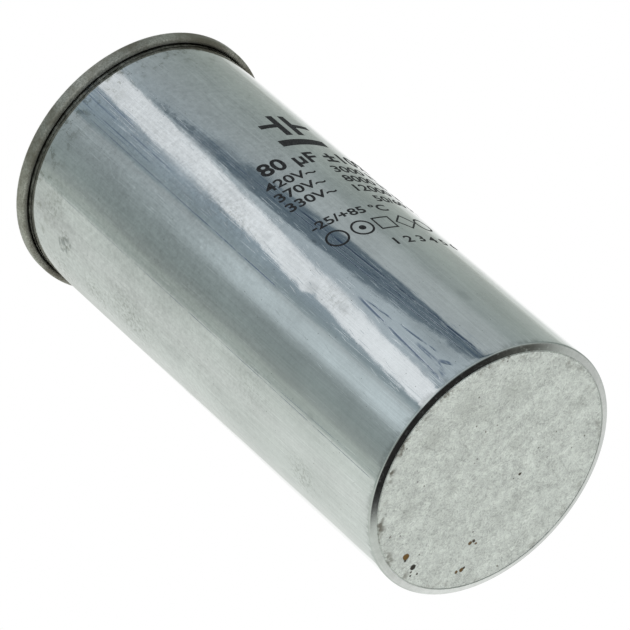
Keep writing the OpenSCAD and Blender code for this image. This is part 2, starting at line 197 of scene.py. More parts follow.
# %% Helpers for textures
def grain(tree, place, scale, detail, roughness):
    """A Noise texture's value, about 0.5 on average."""
    made = add(tree, "ShaderNodeTexNoise", {"Vector": place, "Scale": scale, "Detail": detail,
                                            "Roughness": roughness})
    return made.outputs["Fac"]


def stretched(tree, place, x, y, z):
    """The place scaled by a different amount on each axis, which draws a texture out into streaks."""
    return add(tree, "ShaderNodeMapping", {"Vector": place, "Scale": (x, y, z)}).outputs["Vector"]


def swung(tree, place, angle):
    """The place turned about Z, by an angle in radians."""
    turned = add(tree, "ShaderNodeVectorRotate", {"Vector": place, "Angle": angle}, rotation_type="Z_AXIS")
    return turned.outputs["Vector"]


def empty_net(owner):
    """The node net of a new material or world, emptied."""
    owner.use_nodes = True
    owner.node_tree.nodes.clear()
    return owner.node_tree


def new_material(name):
    """An empty material with a metal-ready shader: (material, tree, shader, place in millimetres)."""
    material = bpy.data.materials.new(name)
    tree = empty_net(material)
    shader = add(tree, "ShaderNodeBsdfPrincipled")
    output = add(tree, "ShaderNodeOutputMaterial")
    tree.links.new(shader.outputs["BSDF"], output.inputs["Surface"])
    coordinates = add(tree, "ShaderNodeTexCoord").outputs["Object"]
    place = add(tree, "ShaderNodeVectorMath", {0: coordinates, "Scale": 1 / MM}, operation="SCALE").outputs[0]
    return material, tree, shader, place


def bumped(tree, shader, height_mm):
    """Gives the shader a bump whose height is in millimetres."""
    bump = add(tree, "ShaderNodeBump", {"Height": height_mm, "Distance": MM, "Strength": 1.0})
    tree.links.new(bump.outputs["Normal"], shader.inputs["Normal"])


def rgb(red, green, blue):
    """A colour in a socket's own form."""
    return (red, green, blue, 1.0)


print("one texture unit is %g m" % MM)

# %% [markdown]
# ## The studio that the metal mirrors
#
# On a cylinder, light that leaves the camera at one angle comes back turned by twice the angle of the wall.
# So a band seen on the can is a card that stands round it in the room. Cards could be modelled as planes,
# but they would stand in the way of other cameras. Here they are painted on the sky instead, where only
# mirrored rays see them: a row of pale and grey cards, one leaning white strip and one leaning dark flag.
# The camera sees plain white, and matt surfaces get an even, plain light.

# %% Name the cards
FACING = 150.0           # degrees to add to a direction's azimuth, so that 0 is back towards the camera
CARDS = [                # half the turn from the camera in degrees, and the card's colour
    (-90.0, (0.67, 0.70, 0.67)), (-80.0, (0.69, 0.72, 0.69)), (-74.0, (0.70, 0.735, 0.705)),
    (-66.0, (0.665, 0.71, 0.675)), (-56.0, (0.645, 0.69, 0.655)),
    (-48.0, (0.645, 0.685, 0.655)), (-38.0, (0.59, 0.64, 0.605)), (-33.9, (0.575, 0.62, 0.59)),
    (-33.6, (0.39, 0.445, 0.42)), (-29.5, (0.375, 0.425, 0.40)), (-27.0, (0.285, 0.325, 0.315)),
    (-21.0, (0.240, 0.286, 0.283)), (-14.0, (0.25, 0.295, 0.30)), (-6.0, (0.325, 0.375, 0.39)),
    (-2.6, (0.335, 0.38, 0.395)), (-2.0, (0.235, 0.290, 0.310)), (6.0, (0.27, 0.335, 0.385)),
    (14.0, (0.36, 0.42, 0.46)), (22.0, (0.36, 0.42, 0.455)), (34.0, (0.31, 0.355, 0.37)),
    (50.0, (0.295, 0.34, 0.335)), (60.0, (0.325, 0.37, 0.35)), (70.0, (0.40, 0.44, 0.415)),
    (72.6, (0.44, 0.475, 0.445)), (73.6, (0.60, 0.64, 0.61)), (78.0, (0.72, 0.75, 0.73)),
    (83.0, (0.97, 0.98, 0.97)),
]
LEAN_FROM = 40.0         # height above the horizon, in degrees, at which the leaning cards' edges are given
WHITE_WALL = (-79.7, -2.0, -0.5)              # everything beyond this leaning edge is white
WHITE_STRIP = ((4.1, 2.1, 0.0), (14.1, 2.5, 0.0))          # (place, lean, bend) of its two edges
DARK_FLAG = ((22.9, -2.6, 0.9), (33.9, -0.76, -0.84))
PALE_CARD = (-12.0, -3.2)                     # its two edges; it stands low and fades out upwards
LEAN_HEIGHTS = (38.3, 44.0)                   # the edges stand upright below and above these heights
GREY_CARD = (34.0, 47.0)                      # a faint one beside the dark flag, as low as the pale one
BENCH = (-36.0, -22.0)                        # the heights between which the bench is mirrored
FLOOR_FLAG = (36.0, -68.0, 19.0)              # azimuth, height and half width of the flag under the bench
WHITE_PAINT, STRIP_PAINT = rgb(0.985, 0.995, 0.985), rgb(0.76, 0.80, 0.83)
PALE_PAINT, GREY_PAINT = rgb(0.50, 0.575, 0.60), rgb(0.55, 0.60, 0.61)
FLAG_PAINT, UNDER_PAINT = rgb(0.112, 0.150, 0.180), rgb(0.13, 0.135, 0.14)
BENCH_PAINT = rgb(0.80, 0.81, 0.80)
MATT_LIGHT = 0.78                             # strength of the sky for matt surfaces
print("cards in the row:", len(CARDS))

# %% [markdown]
# ## Cards that lean
#
# Some cards don't stand upright, so their bands run aslant down the can. A turned picture could do that, but
# a formula is exact: the turn at which an edge stands is worked out from the height, with one number for
# its lean and one for a slight bend.

# %% Helpers for leaning cards
def leaning_edge(tree, value, lean, edge):
    """How far the turn is past a card's leaning edge."""
    bent = times(tree, sums(tree, "MULTIPLY_ADD", lean, edge[2], edge[1]), lean)
    return sums(tree, "SUBTRACT", value, sums(tree, "ADD", bent, edge[0]))


def leaning_card(tree, value, lean, edges, soft):
    """1 on a card with two leaning edges."""
    rise = soft_step(tree, leaning_edge(tree, value, lean, edges[0]), -soft, soft)
    fall = soft_step(tree, leaning_edge(tree, value, lean, edges[1]), -soft, soft, 1.0, 0.0)
    return times(tree, rise, fall)


print("the strip is %.0f degrees wide at the reference height" % (WHITE_STRIP[1][0] - WHITE_STRIP[0][0]))

# %% [markdown]
# ## Painting the sky
#
# The upright cards are one colour ramp over the turn from the camera. The others are masks that are laid
# over it, one after the other. Light Path then sorts the rays, so that only mirrored ones see the cards.

# %% Paint the sky
def row_of_cards(tree, half_turn):
    """The upright cards: a colour ramp over the turn."""
    row = add(tree, "ShaderNodeValToRGB", {"Fac": sums(tree, "MULTIPLY_ADD", half_turn, 1 / 180.0, 0.5)})
    ramp = row.color_ramp
    while len(ramp.elements) > 1:
        ramp.elements.remove(ramp.elements[-1])
    ramp.elements[0].position = 0.0
    ramp.elements[0].color = rgb(*CARDS[0][1])
    for angle, colour in CARDS[1:]:
        ramp.elements.new(angle / 180.0 + 0.5).color = rgb(*colour)
    return row.outputs["Color"]


def mirrored_room(tree, direction):
    """All that the metal mirrors."""
    parts = add(tree, "ShaderNodeSeparateXYZ", {0: direction}).outputs
    azimuth = sums(tree, "DEGREES", sums(tree, "ARCTAN2", parts["Y"], parts["X"]))
    turned = sums(tree, "WRAP", sums(tree, "ADD", azimuth, FACING), 180.0, -180.0)
    half_turn = sums(tree, "DIVIDE", turned, 2.0)
    height = sums(tree, "DEGREES", sums(tree, "ARCSINE", parts["Z"]))
    leaning = sums(tree, "MINIMUM", sums(tree, "MAXIMUM", height, LEAN_HEIGHTS[0]), LEAN_HEIGHTS[1])
    lean = sums(tree, "SUBTRACT", leaning, LEAN_FROM)
    low = soft_step(tree, lean, 0.8, 2.3, 1.0, 0.0)
    white = soft_step(tree, leaning_edge(tree, half_turn, lean, WHITE_WALL), -1.5, 0.5, 1.0, 0.0)
    pale = times(tree, between(tree, half_turn, *PALE_CARD, 7.0), low)
    grey = times(tree, times(tree, between(tree, half_turn, *GREY_CARD, 5.0), low), 0.30)
    bench = times(tree, between(tree, height, *BENCH, 8.0), 0.6)
    azimuth_of, height_of, half_width = (math.radians(a) for a in FLOOR_FLAG)
    middle = Vector((math.cos(azimuth_of) * math.cos(height_of),
                     math.sin(azimuth_of) * math.cos(height_of), math.sin(height_of)))
    under = soft_step(tree, vectors(tree, "DOT_PRODUCT", direction, middle),
                      math.cos(half_width * 1.25), math.cos(half_width * 0.85))
    sky = row_of_cards(tree, half_turn)
    for mask, paint in ((white, WHITE_PAINT), (pale, PALE_PAINT), (grey, GREY_PAINT),
                        (leaning_card(tree, half_turn, lean, DARK_FLAG, 0.6), FLAG_PAINT),
                        (leaning_card(tree, half_turn, lean, WHITE_STRIP, 0.35), STRIP_PAINT),
                        (bench, BENCH_PAINT), (under, UNDER_PAINT)):
        sky = mix(tree, mask, sky, paint)
    return sky


def paint_sky():
    """A world that mirrored rays see as the room, the camera as white and matt pieces as even light."""
    world = bpy.data.worlds.new("studio")
    bpy.context.scene.world = world
    tree = empty_net(world)
    direction = add(tree, "ShaderNodeTexCoord").outputs["Generated"]
    mirrored, matt, plain = (
        add(tree, "ShaderNodeBackground", {"Color": colour, "Strength": strength}).outputs[0]
        for colour, strength in ((mirrored_room(tree, direction), 1.0), (rgb(1, 1, 1), MATT_LIGHT),
                                 (rgb(1, 1, 1), 1.0)))
    rays = add(tree, "ShaderNodeLightPath").outputs
    lit = add(tree, "ShaderNodeMixShader", {0: rays["Is Glossy Ray"], 1: matt, 2: mirrored}).outputs[0]
    seen = sums(tree, "MAXIMUM", rays["Is Camera Ray"], rays["Is Transmission Ray"])
    whole = add(tree, "ShaderNodeMixShader", {0: seen, 1: lit, 2: plain}).outputs[0]
    tree.links.new(whole, add(tree, "ShaderNodeOutputWorld").inputs["Surface"])
    print("sky: %d nodes" % len(tree.nodes))


paint_sky()
bpy.context.scene.view_settings.view_transform = "Standard"

# %% [markdown]
# ## A soft lamp
#
# The sky alone lights a matt piece evenly and leaves it flat. One large lamp gives such pieces a lighter and
# a darker side. Metal would mirror it as a white square, so mirrored rays don't see it.

# %% Hang the lamp
LAMP_PLACE = Vector((-0.55, -0.65, 0.95))
LAMP_AIM = Vector((0, 0, 0.06))

lamp = bpy.data.lights.new("soft_lamp", "AREA")
lamp.size = 0.7
lamp.energy = 4.5
lamp_holder = placed("soft_lamp", lamp)
lamp_turn = (LAMP_AIM - LAMP_PLACE).to_track_quat("-Z", "Y").to_matrix()
lamp_holder.matrix_world = Matrix.Translation(LAMP_PLACE) @ lamp_turn.to_4x4()
lamp_holder.visible_glossy = False
lamp_holder.visible_camera = False
print("lamp %.2f m away" % LAMP_PLACE.length)

# %% [markdown]
# ## Turned shapes
#
# A can is drawn and a cover is pressed, but both are round, so each is one profile spun about the axis.
# The profile is a list of (radius, height) corners in millimetres. An arc helper adds the bends.
# A spun mesh is merged at its seam and at the axis, and then its faces are turned to look outwards.

# %% Helpers for turned pieces
STEPS = 256


def arc(centre, radius, start, end, count):
    """Points on an arc in a profile; the angles are in degrees, 0 outwards and 90 up."""
    points = []
    for i in range(count + 1):
        angle = math.radians(start + (end - start) * i / count)
        points.append((centre[0] + radius * math.cos(angle), centre[1] + radius * math.sin(angle)))
    return points


def line(start, end, count):
    """Points on a straight stretch of a profile, without its first one."""
    return [(start[0] + (end[0] - start[0]) * i / count, start[1] + (end[1] - start[1]) * i / count)
            for i in range(1, count + 1)]


def tidy(bm, distance=1e-7):
    """Merges doubles and turns the faces outwards."""
    bmesh.ops.remove_doubles(bm, verts=bm.verts, dist=distance)
    bmesh.ops.recalc_face_normals(bm, faces=bm.faces)


def spun(profile):
    """A bmesh of the profile, spun once round Z."""
    bm = bmesh.new()
    points = [bm.verts.new((r * MM, 0, z * MM)) for r, z in profile]
    for first, second in zip(points, points[1:]):
        bm.edges.new((first, second))
    bmesh.ops.spin(bm, geom=bm.verts[:] + bm.edges[:], cent=(0, 0, 0), axis=(0, 0, 1),
                   angle=math.tau, steps=STEPS, use_merge=True, use_duplicate=False)
    tidy(bm)
    return bm


def mesh_of(name, bm):
    """The bmesh as a mesh."""
    mesh = bpy.data.meshes.new(name)
    bm.to_mesh(mesh)
    bm.free()
    return mesh


def piece(name, bm, material, smooth_below=30.0):
    """Makes the bmesh an object at the origin, shaded smooth except across sharp edges."""
    mesh = mesh_of(name, bm)
    made = placed(name, mesh)
    for face in mesh.polygons:
        face.use_smooth = True
    mesh.set_sharp_from_angle(angle=math.radians(smooth_below))
    mesh.materials.append(material)
    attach(made, "root")
    print(name, "faces:", len(mesh.polygons))
    return made


print("steps round a turned piece:", STEPS)

# %% [markdown]
# ## Aluminium of the can
#
# A drawn can keeps the fine lines of the drawing die, which run along it, and collects scratches, dull
# specks and finger marks. All of them are far thinner than the wall's facets, so they are bump and colour.
# The base was not drawn: the sheet's own felt-like frosting is left on it, and it has the odd brown pit.

# %% Name the marks on the base
BASE_MARKS = [           # x and y in millimetres, radius, darkness, how brown
    (-14.2, 19.9, 0.78, 0.92, 0.95), (-14.0, 20.8, 0.32, 0.97, 0.1), (-11.1, 22.5, 0.68, 0.98, 0.05),
    (-11.1, 23.7, 0.26, 0.9, 0.1), (-9.2, 24.2, 0.30, 0.9, 0.1), (-10.9, 24.6, 0.24, 0.9, 0.1),
    (2.9, 23.8, 0.52, 0.92, 0.7), (3.4, 23.3, 0.30, 0.97, 0.1), (1.7, 24.3, 0.4, 0.85, 0.7),
    (2.3, 17.3, 0.48, 0.85, 0.7), (3.1, 16.8, 0.40, 0.95, 0.2), (4.0, 17.4, 0.30, 0.8, 0.7),
    (-20.8, 14.9, 0.3, 0.5, 0.3),
    (8.5, 0.9, 0.38, 0.95, 0.15), (22.9, 17.7, 0.4, 0.5, 0.5), (12.8, 23.3, 0.25, 0.6, 0.3),
    (-3.5, -11.0, 0.2, 0.6, 0.2), (14.0, -9.0, 0.18, 0.6, 0.2), (-6.0, -9.5, 0.22, 0.6, 0.3),
    (28.2, -6.9, 0.3, 0.8, 0.2), (-17.0, 3.0, 0.18, 0.6, 0.3), (-5.5, -2.0, 0.16, 0.6, 0.3),
]
SMUDGES = [              # x, y and radius
    (-18.5, 9.3, 2.2), (-8.3, -13.5, 2.4), (-14.0, -15.0, 3.4), (-20.0, -8.0, 2.6), (10.5, 9.0, 1.6),
    (17.0, -16.0, 2.4), (-2.0, -19.0, 3.0), (-9.0, 4.0, 1.8), (4.0, -6.0, 1.7),
]


def specks(tree, place, scale, share, size):
    """Small dots: the middles of some of a Voronoi's cells. share is the part of cells that have one."""
    cells = add(tree, "ShaderNodeTexVoronoi", {"Vector": place, "Scale": scale, "Randomness": 1.0},
                feature="F1")
    chosen = add(tree, "ShaderNodeSeparateColor", {0: cells.outputs["Color"]}).outputs[1]
    near = soft_step(tree, cells.outputs["Distance"], size * 0.4, size, 1.0, 0.0)
    return times(tree, near, soft_step(tree, chosen, 1.0 - share, 1.02 - share))


def spots(tree, place, marks):
    """(darkness, brownness) masks of round, slightly ragged spots."""
    wander = add(tree, "ShaderNodeTexNoise", {"Vector": place, "Scale": 2.2, "Detail": 2.0}).outputs["Color"]
    shift = vectors(tree, "SUBTRACT", wander, (0.5, 0.5, 0.5))
    ragged = vectors(tree, "MULTIPLY_ADD", shift, (0.40, 0.40, 0.0), place)
    dark = brown = 0.0
    for x, y, radius, darkness, rusty in marks:
        away = vectors(tree, "DISTANCE", ragged, (x, y, 0.0))
        mask = soft_step(tree, away, radius * 0.85, radius * 1.15, darkness, 0.0)
        dark = sums(tree, "MAXIMUM", dark, mask)
        brown = sums(tree, "MAXIMUM", brown, times(tree, mask, rusty))
    return dark, brown


print("marks on the base:", len(BASE_MARKS) + len(SMUDGES))

# %% [markdown]
# ## The base's frosting
#
# The frosting is like felt: short fine strokes that lie in every direction. One noise would run all one way,
# so each cell of a Voronoi turns it by its own angle. Two such layers are added, with finer grain, cloudy
# patches, smudges and the marks laid over them.

# %% Aluminium: the base
def hairs(tree, place, seed, scale):
    """Short strokes that lie in all directions: streaky noise, turned at random in each cell of a Voronoi."""
    moved = vectors(tree, "ADD", place, (seed, -seed, 0.0))
    cells = add(tree, "ShaderNodeTexVoronoi", {"Vector": moved, "Scale": scale, "Randomness": 1.0},
                feature="F1").outputs["Color"]
    angle = times(tree, add(tree, "ShaderNodeSeparateColor", {0: cells}).outputs[0], math.tau)
    return grain(tree, stretched(tree, swung(tree, moved, angle), 0.45, 2.7, 1.0), 1.0, 2.0, 0.6)


def base_look(tree, place):
    """(colour, roughness, height) of the frosted base."""
    flat = stretched(tree, place, 1.0, 1.0, 0.0)
    fine = grain(tree, flat, 2.6, 4.0, 0.7)
    felt = sums(tree, "ADD", hairs(tree, flat, 3.0, 0.8), hairs(tree, flat, 17.0, 1.1))
    patch = grain(tree, flat, 0.22, 3.0, 0.6)
    flecks = soft_step(tree, sums(tree, "MULTIPLY_ADD", patch, 0.5, hairs(tree, flat, 41.0, 1.2)), 0.76, 0.90)
    crumbs = grain(tree, flat, 0.6, 7.0, 0.78)
    cloud = grain(tree, flat, 0.14, 5.0, 0.62)
    dark, brown = spots(tree, flat, BASE_MARKS)
    dots = specks(tree, flat, 0.40, 0.42, 0.115)
    height = sums(tree, "MULTIPLY_ADD", felt, 0.05, times(tree, fine, 0.03))
    height = sums(tree, "SUBTRACT", height, times(tree, dark, 0.10))
    tone = sums(tree, "MULTIPLY_ADD", felt, 0.48, 0.555)
    for field, amount in ((fine, 0.50), (crumbs, 1.05), (cloud, 0.55)):
        tone = sums(tree, "ADD", tone, sums(tree, "MULTIPLY_ADD", field, amount, -amount / 2))
    tone = sums(tree, "MULTIPLY_ADD", flecks, -0.20, tone)
    plain = add(tree, "ShaderNodeHueSaturation", {"Color": rgb(0.755, 0.79, 0.745), "Value": tone}).outputs[0]
    for x, y, radius in SMUDGES:
        away = vectors(tree, "DISTANCE", flat, (x, y, 0.0))
        ragged = sums(tree, "MULTIPLY_ADD", sums(tree, "SUBTRACT", fine, 0.5), 5.0, away)
        mask = soft_step(tree, ragged, radius * 0.2, radius * 1.6, 0.22, 0.0)
        plain = mix(tree, mask, plain, rgb(0.42, 0.44, 0.40))
    plain = mix(tree, times(tree, dots, 0.85), plain, rgb(0.10, 0.095, 0.075))
    plain = mix(tree, dark, plain, rgb(0.035, 0.035, 0.03))
    plain = mix(tree, brown, plain, rgb(0.24, 0.13, 0.03))
    roughness = sums(tree, "MULTIPLY_ADD", fine, 0.16, 0.44)
    return plain, roughness, height


print("layers of strokes: 2, smudges:", len(SMUDGES))

# %% [markdown]
# ## The wall's marks
#
# Marks are listed by place: degrees round the can from the printed middle, and height. The wall is thought
# of as spread out flat, so that an oval or a line on it is a plain distance. Each list becomes one mask, in
# which the strongest mark wins.

# %% Name the marks on the wall
WALL_MARKS = [           # degrees from the printed middle, height, half sizes round and along, strength
    (-52.5, 42.5, 1.5, 2.2, 0.30), (-50.5, 33.0, 1.3, 1.8, 0.24), (-49.0, 61.0, 1.0, 1.6, 0.20),
    (-112.6, 113.2, 1.0, 1.1, 0.85), (-110.2, 112.0, 0.6, 1.5, 0.80), (-115.0, 112.0, 1.4, 0.5, 0.75),
    (-114.0, 114.6, 1.4, 0.4, 0.70), (-117.0, 113.6, 0.5, 0.9, 0.65), (-111.4, 110.4, 0.8, 0.6, 0.65),
    (-118.0, 70.0, 2.4, 5.0, 0.14), (-130.0, 30.0, 2.0, 3.5, 0.16), (-91.0, 84.0, 6.0, 26.0, 0.16),
    (-38.0, 52.0, 0.5, 0.9, 0.5), (-37.0, 12.0, 1.5, 11.0, 0.26), (-92.0, 24.0, 0.9, 1.4, 0.25),
    (-10.0, 20.0, 1.2, 2.4, 0.25),
    (30.0, 100.0, 1.6, 3.0, 0.25), (95.0, 55.0, 1.4, 2.6, 0.3), (170.0, 90.0, 2.0, 3.0, 0.3),
]
CREASES = [              # start and end, each in degrees and height, and the half width in millimetres
    ((-46.6, 1.0), (-43.0, 33.0), 0.30), ((-38.9, 8.0), (-42.2, 31.0), 0.18),
    ((-44.6, 2.0), (-41.9, 6.8), 0.55), ((-38.2, 3.0), (-41.7, 6.8), 0.52),
    ((-42.2, 5.5), (-41.8, 14.0), 0.42), ((-27.2, 4.0), (-31.6, 62.0), 0.26),
    ((-94.2, 2.0), (-93.6, 124.0), 0.06), ((-91.4, 1.0), (-93.0, 46.0), 0.05),
    ((-29.6, 8.0), (-37.2, 104.0), 0.16), ((-31.4, 5.0), (-34.8, 50.0), 0.14),
    ((-54.6, 92.0), (-53.4, 127.0), 0.20), ((-57.6, 98.0), (-57.0, 127.0), 0.16),
    ((-61.4, 46.0), (-60.4, 127.0), 0.15), ((-51.2, 108.0), (-49.6, 127.0), 0.12),
]
STAINS = [               # degrees, height, half sizes round and along, strength
    (-112.5, 112.6, 3.4, 2.6, 0.75), (-126.0, 101.0, 5.0, 6.0, 0.50), (-121.0, 88.0, 7.0, 9.0, 0.50),
    (-120.5, 24.0, 5.0, 5.0, 0.45), (-100.0, 118.0, 7.0, 4.5, 0.45), (-134.0, 116.0, 7.0, 6.0, 0.65),
    (-100.0, 44.0, 6.0, 9.0, 0.22), (-52.0, 74.0, 2.6, 12.0, 0.30), (-50.0, 36.0, 2.4, 7.0, 0.30),
    (-8.0, 119.0, 8.0, 4.0, 0.20), (20.0, 30.0, 8.0, 12.0, 0.25), (110.0, 40.0, 9.0, 14.0, 0.3),
    (150.0, 112.0, 12.0, 5.0, 0.4), (60.0, 85.0, 8.0, 10.0, 0.25),
]


def around(turn_deg):
    """Distance round the wall from the printed middle, in millimetres."""
    return math.radians(turn_deg) * CAN_R


def ovals(tree, spread, rows, inner, outer):
    """A mask of soft ovals. The place is spread out flat: x round the wall and y up it, in millimetres."""
    mask = 0.0
    for turn_deg, height, half_round, half_along, strength in rows:
        middle = (around(turn_deg), height, 0.0)
        shifted = vectors(tree, "SUBTRACT", spread, middle)
        away = vectors(tree, "LENGTH", stretched(tree, shifted, 1 / half_round, 1 / half_along, 1.0))
        mask = sums(tree, "MAXIMUM", mask, soft_step(tree, away, inner, outer, strength, 0.0))
    return mask


def creases(tree, spread):
    """A mask of thin straight lines on the spread-out wall."""
    parts = add(tree, "ShaderNodeSeparateXYZ", {0: spread}).outputs
    mask = 0.0
    for (turn_0, z_0), (turn_1, z_1), half in CREASES:
        slope = (around(turn_1) - around(turn_0)) / (z_1 - z_0)
        line_x = sums(tree, "MULTIPLY_ADD", parts["Y"], slope, around(turn_0) - slope * z_0)
        aside = sums(tree, "ABSOLUTE", sums(tree, "SUBTRACT", parts["X"], line_x))
        thin = soft_step(tree, aside, half * 0.4, half * 1.3, 1.0, 0.0)
        fade = min(3.0, (z_1 - z_0) * 0.4)
        ends = between(tree, parts["Y"], z_0 + fade / 3, z_1 - fade / 3, fade)
        mask = sums(tree, "MAXIMUM", mask, times(tree, thin, ends))
    return mask


print("marks on the wall:", len(WALL_MARKS) + len(CREASES) + len(STAINS))

# %% [markdown]
# ## The wall's textures
#
# Drawing pulls every line of the metal along the can, so most of the textures are stretched upwards: the
# smaller the first number of a row, the longer its streaks. The upper half is frosted by handling and the
# lower half still shines. Along the dark flag's band, and in a band near the top, it is worn into pale hairs,
# and dark blue hairs and flakes there are a painted reflection of the dark cards.

# %% Aluminium: the wall's textures
UPRIGHT = {              # stretch along the can, scale per mm, detail, roughness of the noise
    "long_lines": (0.012, 2.6, 3.0, 0.62), "wide_lines": (0.02, 0.42, 2.0, 0.5),
    "ripple": (0.25, 0.18, 3.0, 0.55), "hammer": (0.5, 0.75, 2.0, 0.5),
    "scratch_field": (0.035, 4.2, 1.0, 0.4), "hair_field": (0.02, 3.4, 2.0, 0.6),
    "dull_field": (0.35, 0.11, 5.0, 0.62), "cloud": (0.6, 0.07, 5.0, 0.6),
    "flaked": (0.16, 1.3, 5.0, 0.72), "low_field": (0.4, 0.8, 3.0, 0.6),
    "grit": (1.0, 4.5, 3.0, 0.65), "mottle": (1.0, 0.9, 4.0, 0.68),
    "grime_field": (1.0, 0.45, 5.0, 0.72), "rim_field": (1.0, 0.7, 3.0, 0.6),
}


def worn_and_mirrored_areas(tree, angle, up):
    """(all areas of wear and painted reflection, the low one alone) as masks; the low one follows the
    mirrored flag.
    """
    flag_turn = sums(tree, "MULTIPLY_ADD", up, -0.095, -26.9)
    beside = sums(tree, "ABSOLUTE", sums(tree, "SUBTRACT", angle, flag_turn))
    near_flag = soft_step(tree, beside, 1.5, 5.0, 1.0, 0.0)
    along_flag = times(tree, near_flag, soft_step(tree, up, 96.0, 110.0, 1.0, 0.0))
    near_top = times(tree, between(tree, angle, -62.5, -47.5, 2.0),
                    soft_step(tree, up, 88.0, 110.0))
    low_worn_and_mirrored = times(tree, near_flag, soft_step(tree, up, 62.0, 84.0, 1.0, 0.0))
    return sums(tree, "MAXIMUM", along_flag, near_top), low_worn_and_mirrored


def wall_textures(tree, place, spread, angle, up):
    """All the fields and masks that the wall's colour, roughness and height are made of, by name."""
    found = {name: grain(tree, stretched(tree, place, 1.0, 1.0, long), scale, detail, rough)
             for name, (long, scale, detail, rough) in UPRIGHT.items()}
    found["frosty"] = soft_step(tree, up, 30.0, 78.0, 0.40, 1.0)
    found["hammered"] = times(tree, found["hammer"], found["frosty"])
    found["dull"] = soft_step(tree, found["dull_field"], 0.42, 0.66)
    found["scratches"] = soft_step(tree, found["scratch_field"], 0.63, 0.74)
    aslant = stretched(tree, swung(tree, spread, 0.16), 2.8, 0.16, 1.0)
    found["nicks"] = soft_step(tree, grain(tree, aslant, 1.0, 1.0, 0.4), 0.70, 0.78)
    found["dots"] = specks(tree, spread, 0.75, 0.34, 0.11)
    found["pale_dots"] = specks(tree, spread, 0.8, 0.25, 0.16)
    broken = soft_step(tree, grain(tree, stretched(tree, spread, 1.3, 0.12, 1.0), 1.0, 3.0, 0.7), 0.36, 0.56)
    softer = soft_step(tree, up, 64.0, 92.0, 1.0, 0.55)
    found["folds_and_shade"] = times(tree, creases(tree, spread), times(tree, broken, softer))
    worn, low_worn_and_mirrored = worn_and_mirrored_areas(tree, angle, up)
    # pale hairs and bare flakes are wear; dark blue hairs and flakes are a painted reflection of the dark
    # cards
    for name, field, limits, area in (("pale_hairs", "hair_field", (0.55, 0.66, 0.0, 1.0), worn),
                                      ("mirrored_dark_hairs", "hair_field", (0.34, 0.45, 1.0, 0.0), worn),
                                      ("bare", "flaked", (0.50, 0.60, 0.0, 1.0), low_worn_and_mirrored),
                                      ("mirrored_blue", "flaked", (0.38, 0.47, 1.0, 0.0), low_worn_and_mirrored)):
        found[name] = times(tree, soft_step(tree, found[field], *limits), area)
    return found


print("textures on the wall:", len(UPRIGHT))

# %% [markdown]
# ## The wall's height and tone
#
# Height is a plain sum, in which each texture is multiplied by its depth. The tone of the bare metal is a sum
# too. Towards the rim three sides of the can are a little darker than the rest, which is painted shade.

# %% Aluminium: the wall's height and tone
DEPTHS = {               # in millimetres
    "long_lines": 0.0018, "wide_lines": 0.0070, "ripple": 0.034, "hammered": 0.0042, "grit": 0.0003,
    "scratches": -0.0022, "nicks": -0.004, "folds_and_shade": -0.012,
}
TONES = {"long_lines": 0.32, "scratches": 0.10, "dull": -0.07, "cloud": 0.50}
# Painted shade: the bare metal's tone is lowered near the rim on three sides.
PAINTED_SHADE_SIDES = (         # the heights it starts and is full at, the two turns, softness, change of tone
    ((96.0, 118.0), (-175.0, -101.0), 6.0, -0.07), ((76.0, 108.0), (-178.0, -138.0), 8.0, -0.15),
    ((98.0, 114.0), (12.0, 42.0), 5.0, -0.11),
)
METAL = rgb(0.80, 0.81, 0.805)


def wall_height(tree, found):
    """The bump, in millimetres."""
    height = 0.0
    for name, depth in DEPTHS.items():
        height = sums(tree, "MULTIPLY_ADD", found[name], depth, height)
    return height


def wall_tone(tree, found, angle, up):
    """How bright the bare metal is, as a factor."""
    frosting = sums(tree, "MULTIPLY_ADD", found["mottle"], 0.60,
                    sums(tree, "MULTIPLY_ADD", found["grit"], 0.34, -0.47))
    tone = sums(tree, "MULTIPLY_ADD", frosting, found["frosty"], 0.59)
    for name, change in TONES.items():
        tone = sums(tree, "MULTIPLY_ADD", found[name], change, tone)
    tone = sums(tree, "ADD", tone, soft_step(tree, up, 6.0, 50.0, 0.08, 0.0))
    # painted shade near the rim
    for (low, high), (first, last), soft, change in PAINTED_SHADE_SIDES:
        shaded = times(tree, soft_step(tree, up, low, high), between(tree, angle, first, last, soft))
        tone = sums(tree, "MULTIPLY_ADD", shaded, change, tone)
    return tone


print("depths:", len(DEPTHS), "tones:", len(TONES))

# %% [markdown]
# ## The wall's dirt, painted shade and painted reflection
#
# Dirt lies on the metal in layers, so the colour is made in layers too: marks and grime first, a painted
# shade under the rim, then specks, worn hairs with a painted dark blue reflection, creases with painted shade
# and the scuffed foot. Each layer is a mask, a strength and a shade in one table.

# %% Aluminium: the wall's colour
def wall_grime_and_shade(tree, spread, found, up):
    """Three masks: dirt in patches and near the rim, a painted shade line under the rim, the scuffed foot."""
    clings = soft_step(tree, grain(tree, spread, 1.1, 5.0, 0.7), 0.46, 0.60)
    dirt = times(tree, ovals(tree, spread, STAINS, 0.0, 1.5), clings)
    near_rim = times(tree, soft_step(tree, up, 114.0, 126.0, 0.0, 0.70),
                    soft_step(tree, found["grime_field"], 0.51, 0.64))
    # Painted shade: a dark line on the wall just under the rim, where the cover's curl overhangs it.
    shade_under_rim = soft_step(tree, sums(tree, "MULTIPLY_ADD", found["rim_field"], 1.6, up), 126.9, 127.8)
    foot = times(tree, soft_step(tree, up, 0.4, 2.6, 1.0, 0.0),
                soft_step(tree, found["low_field"], 0.40, 0.62))
    return sums(tree, "MAXIMUM", dirt, near_rim), shade_under_rim, foot


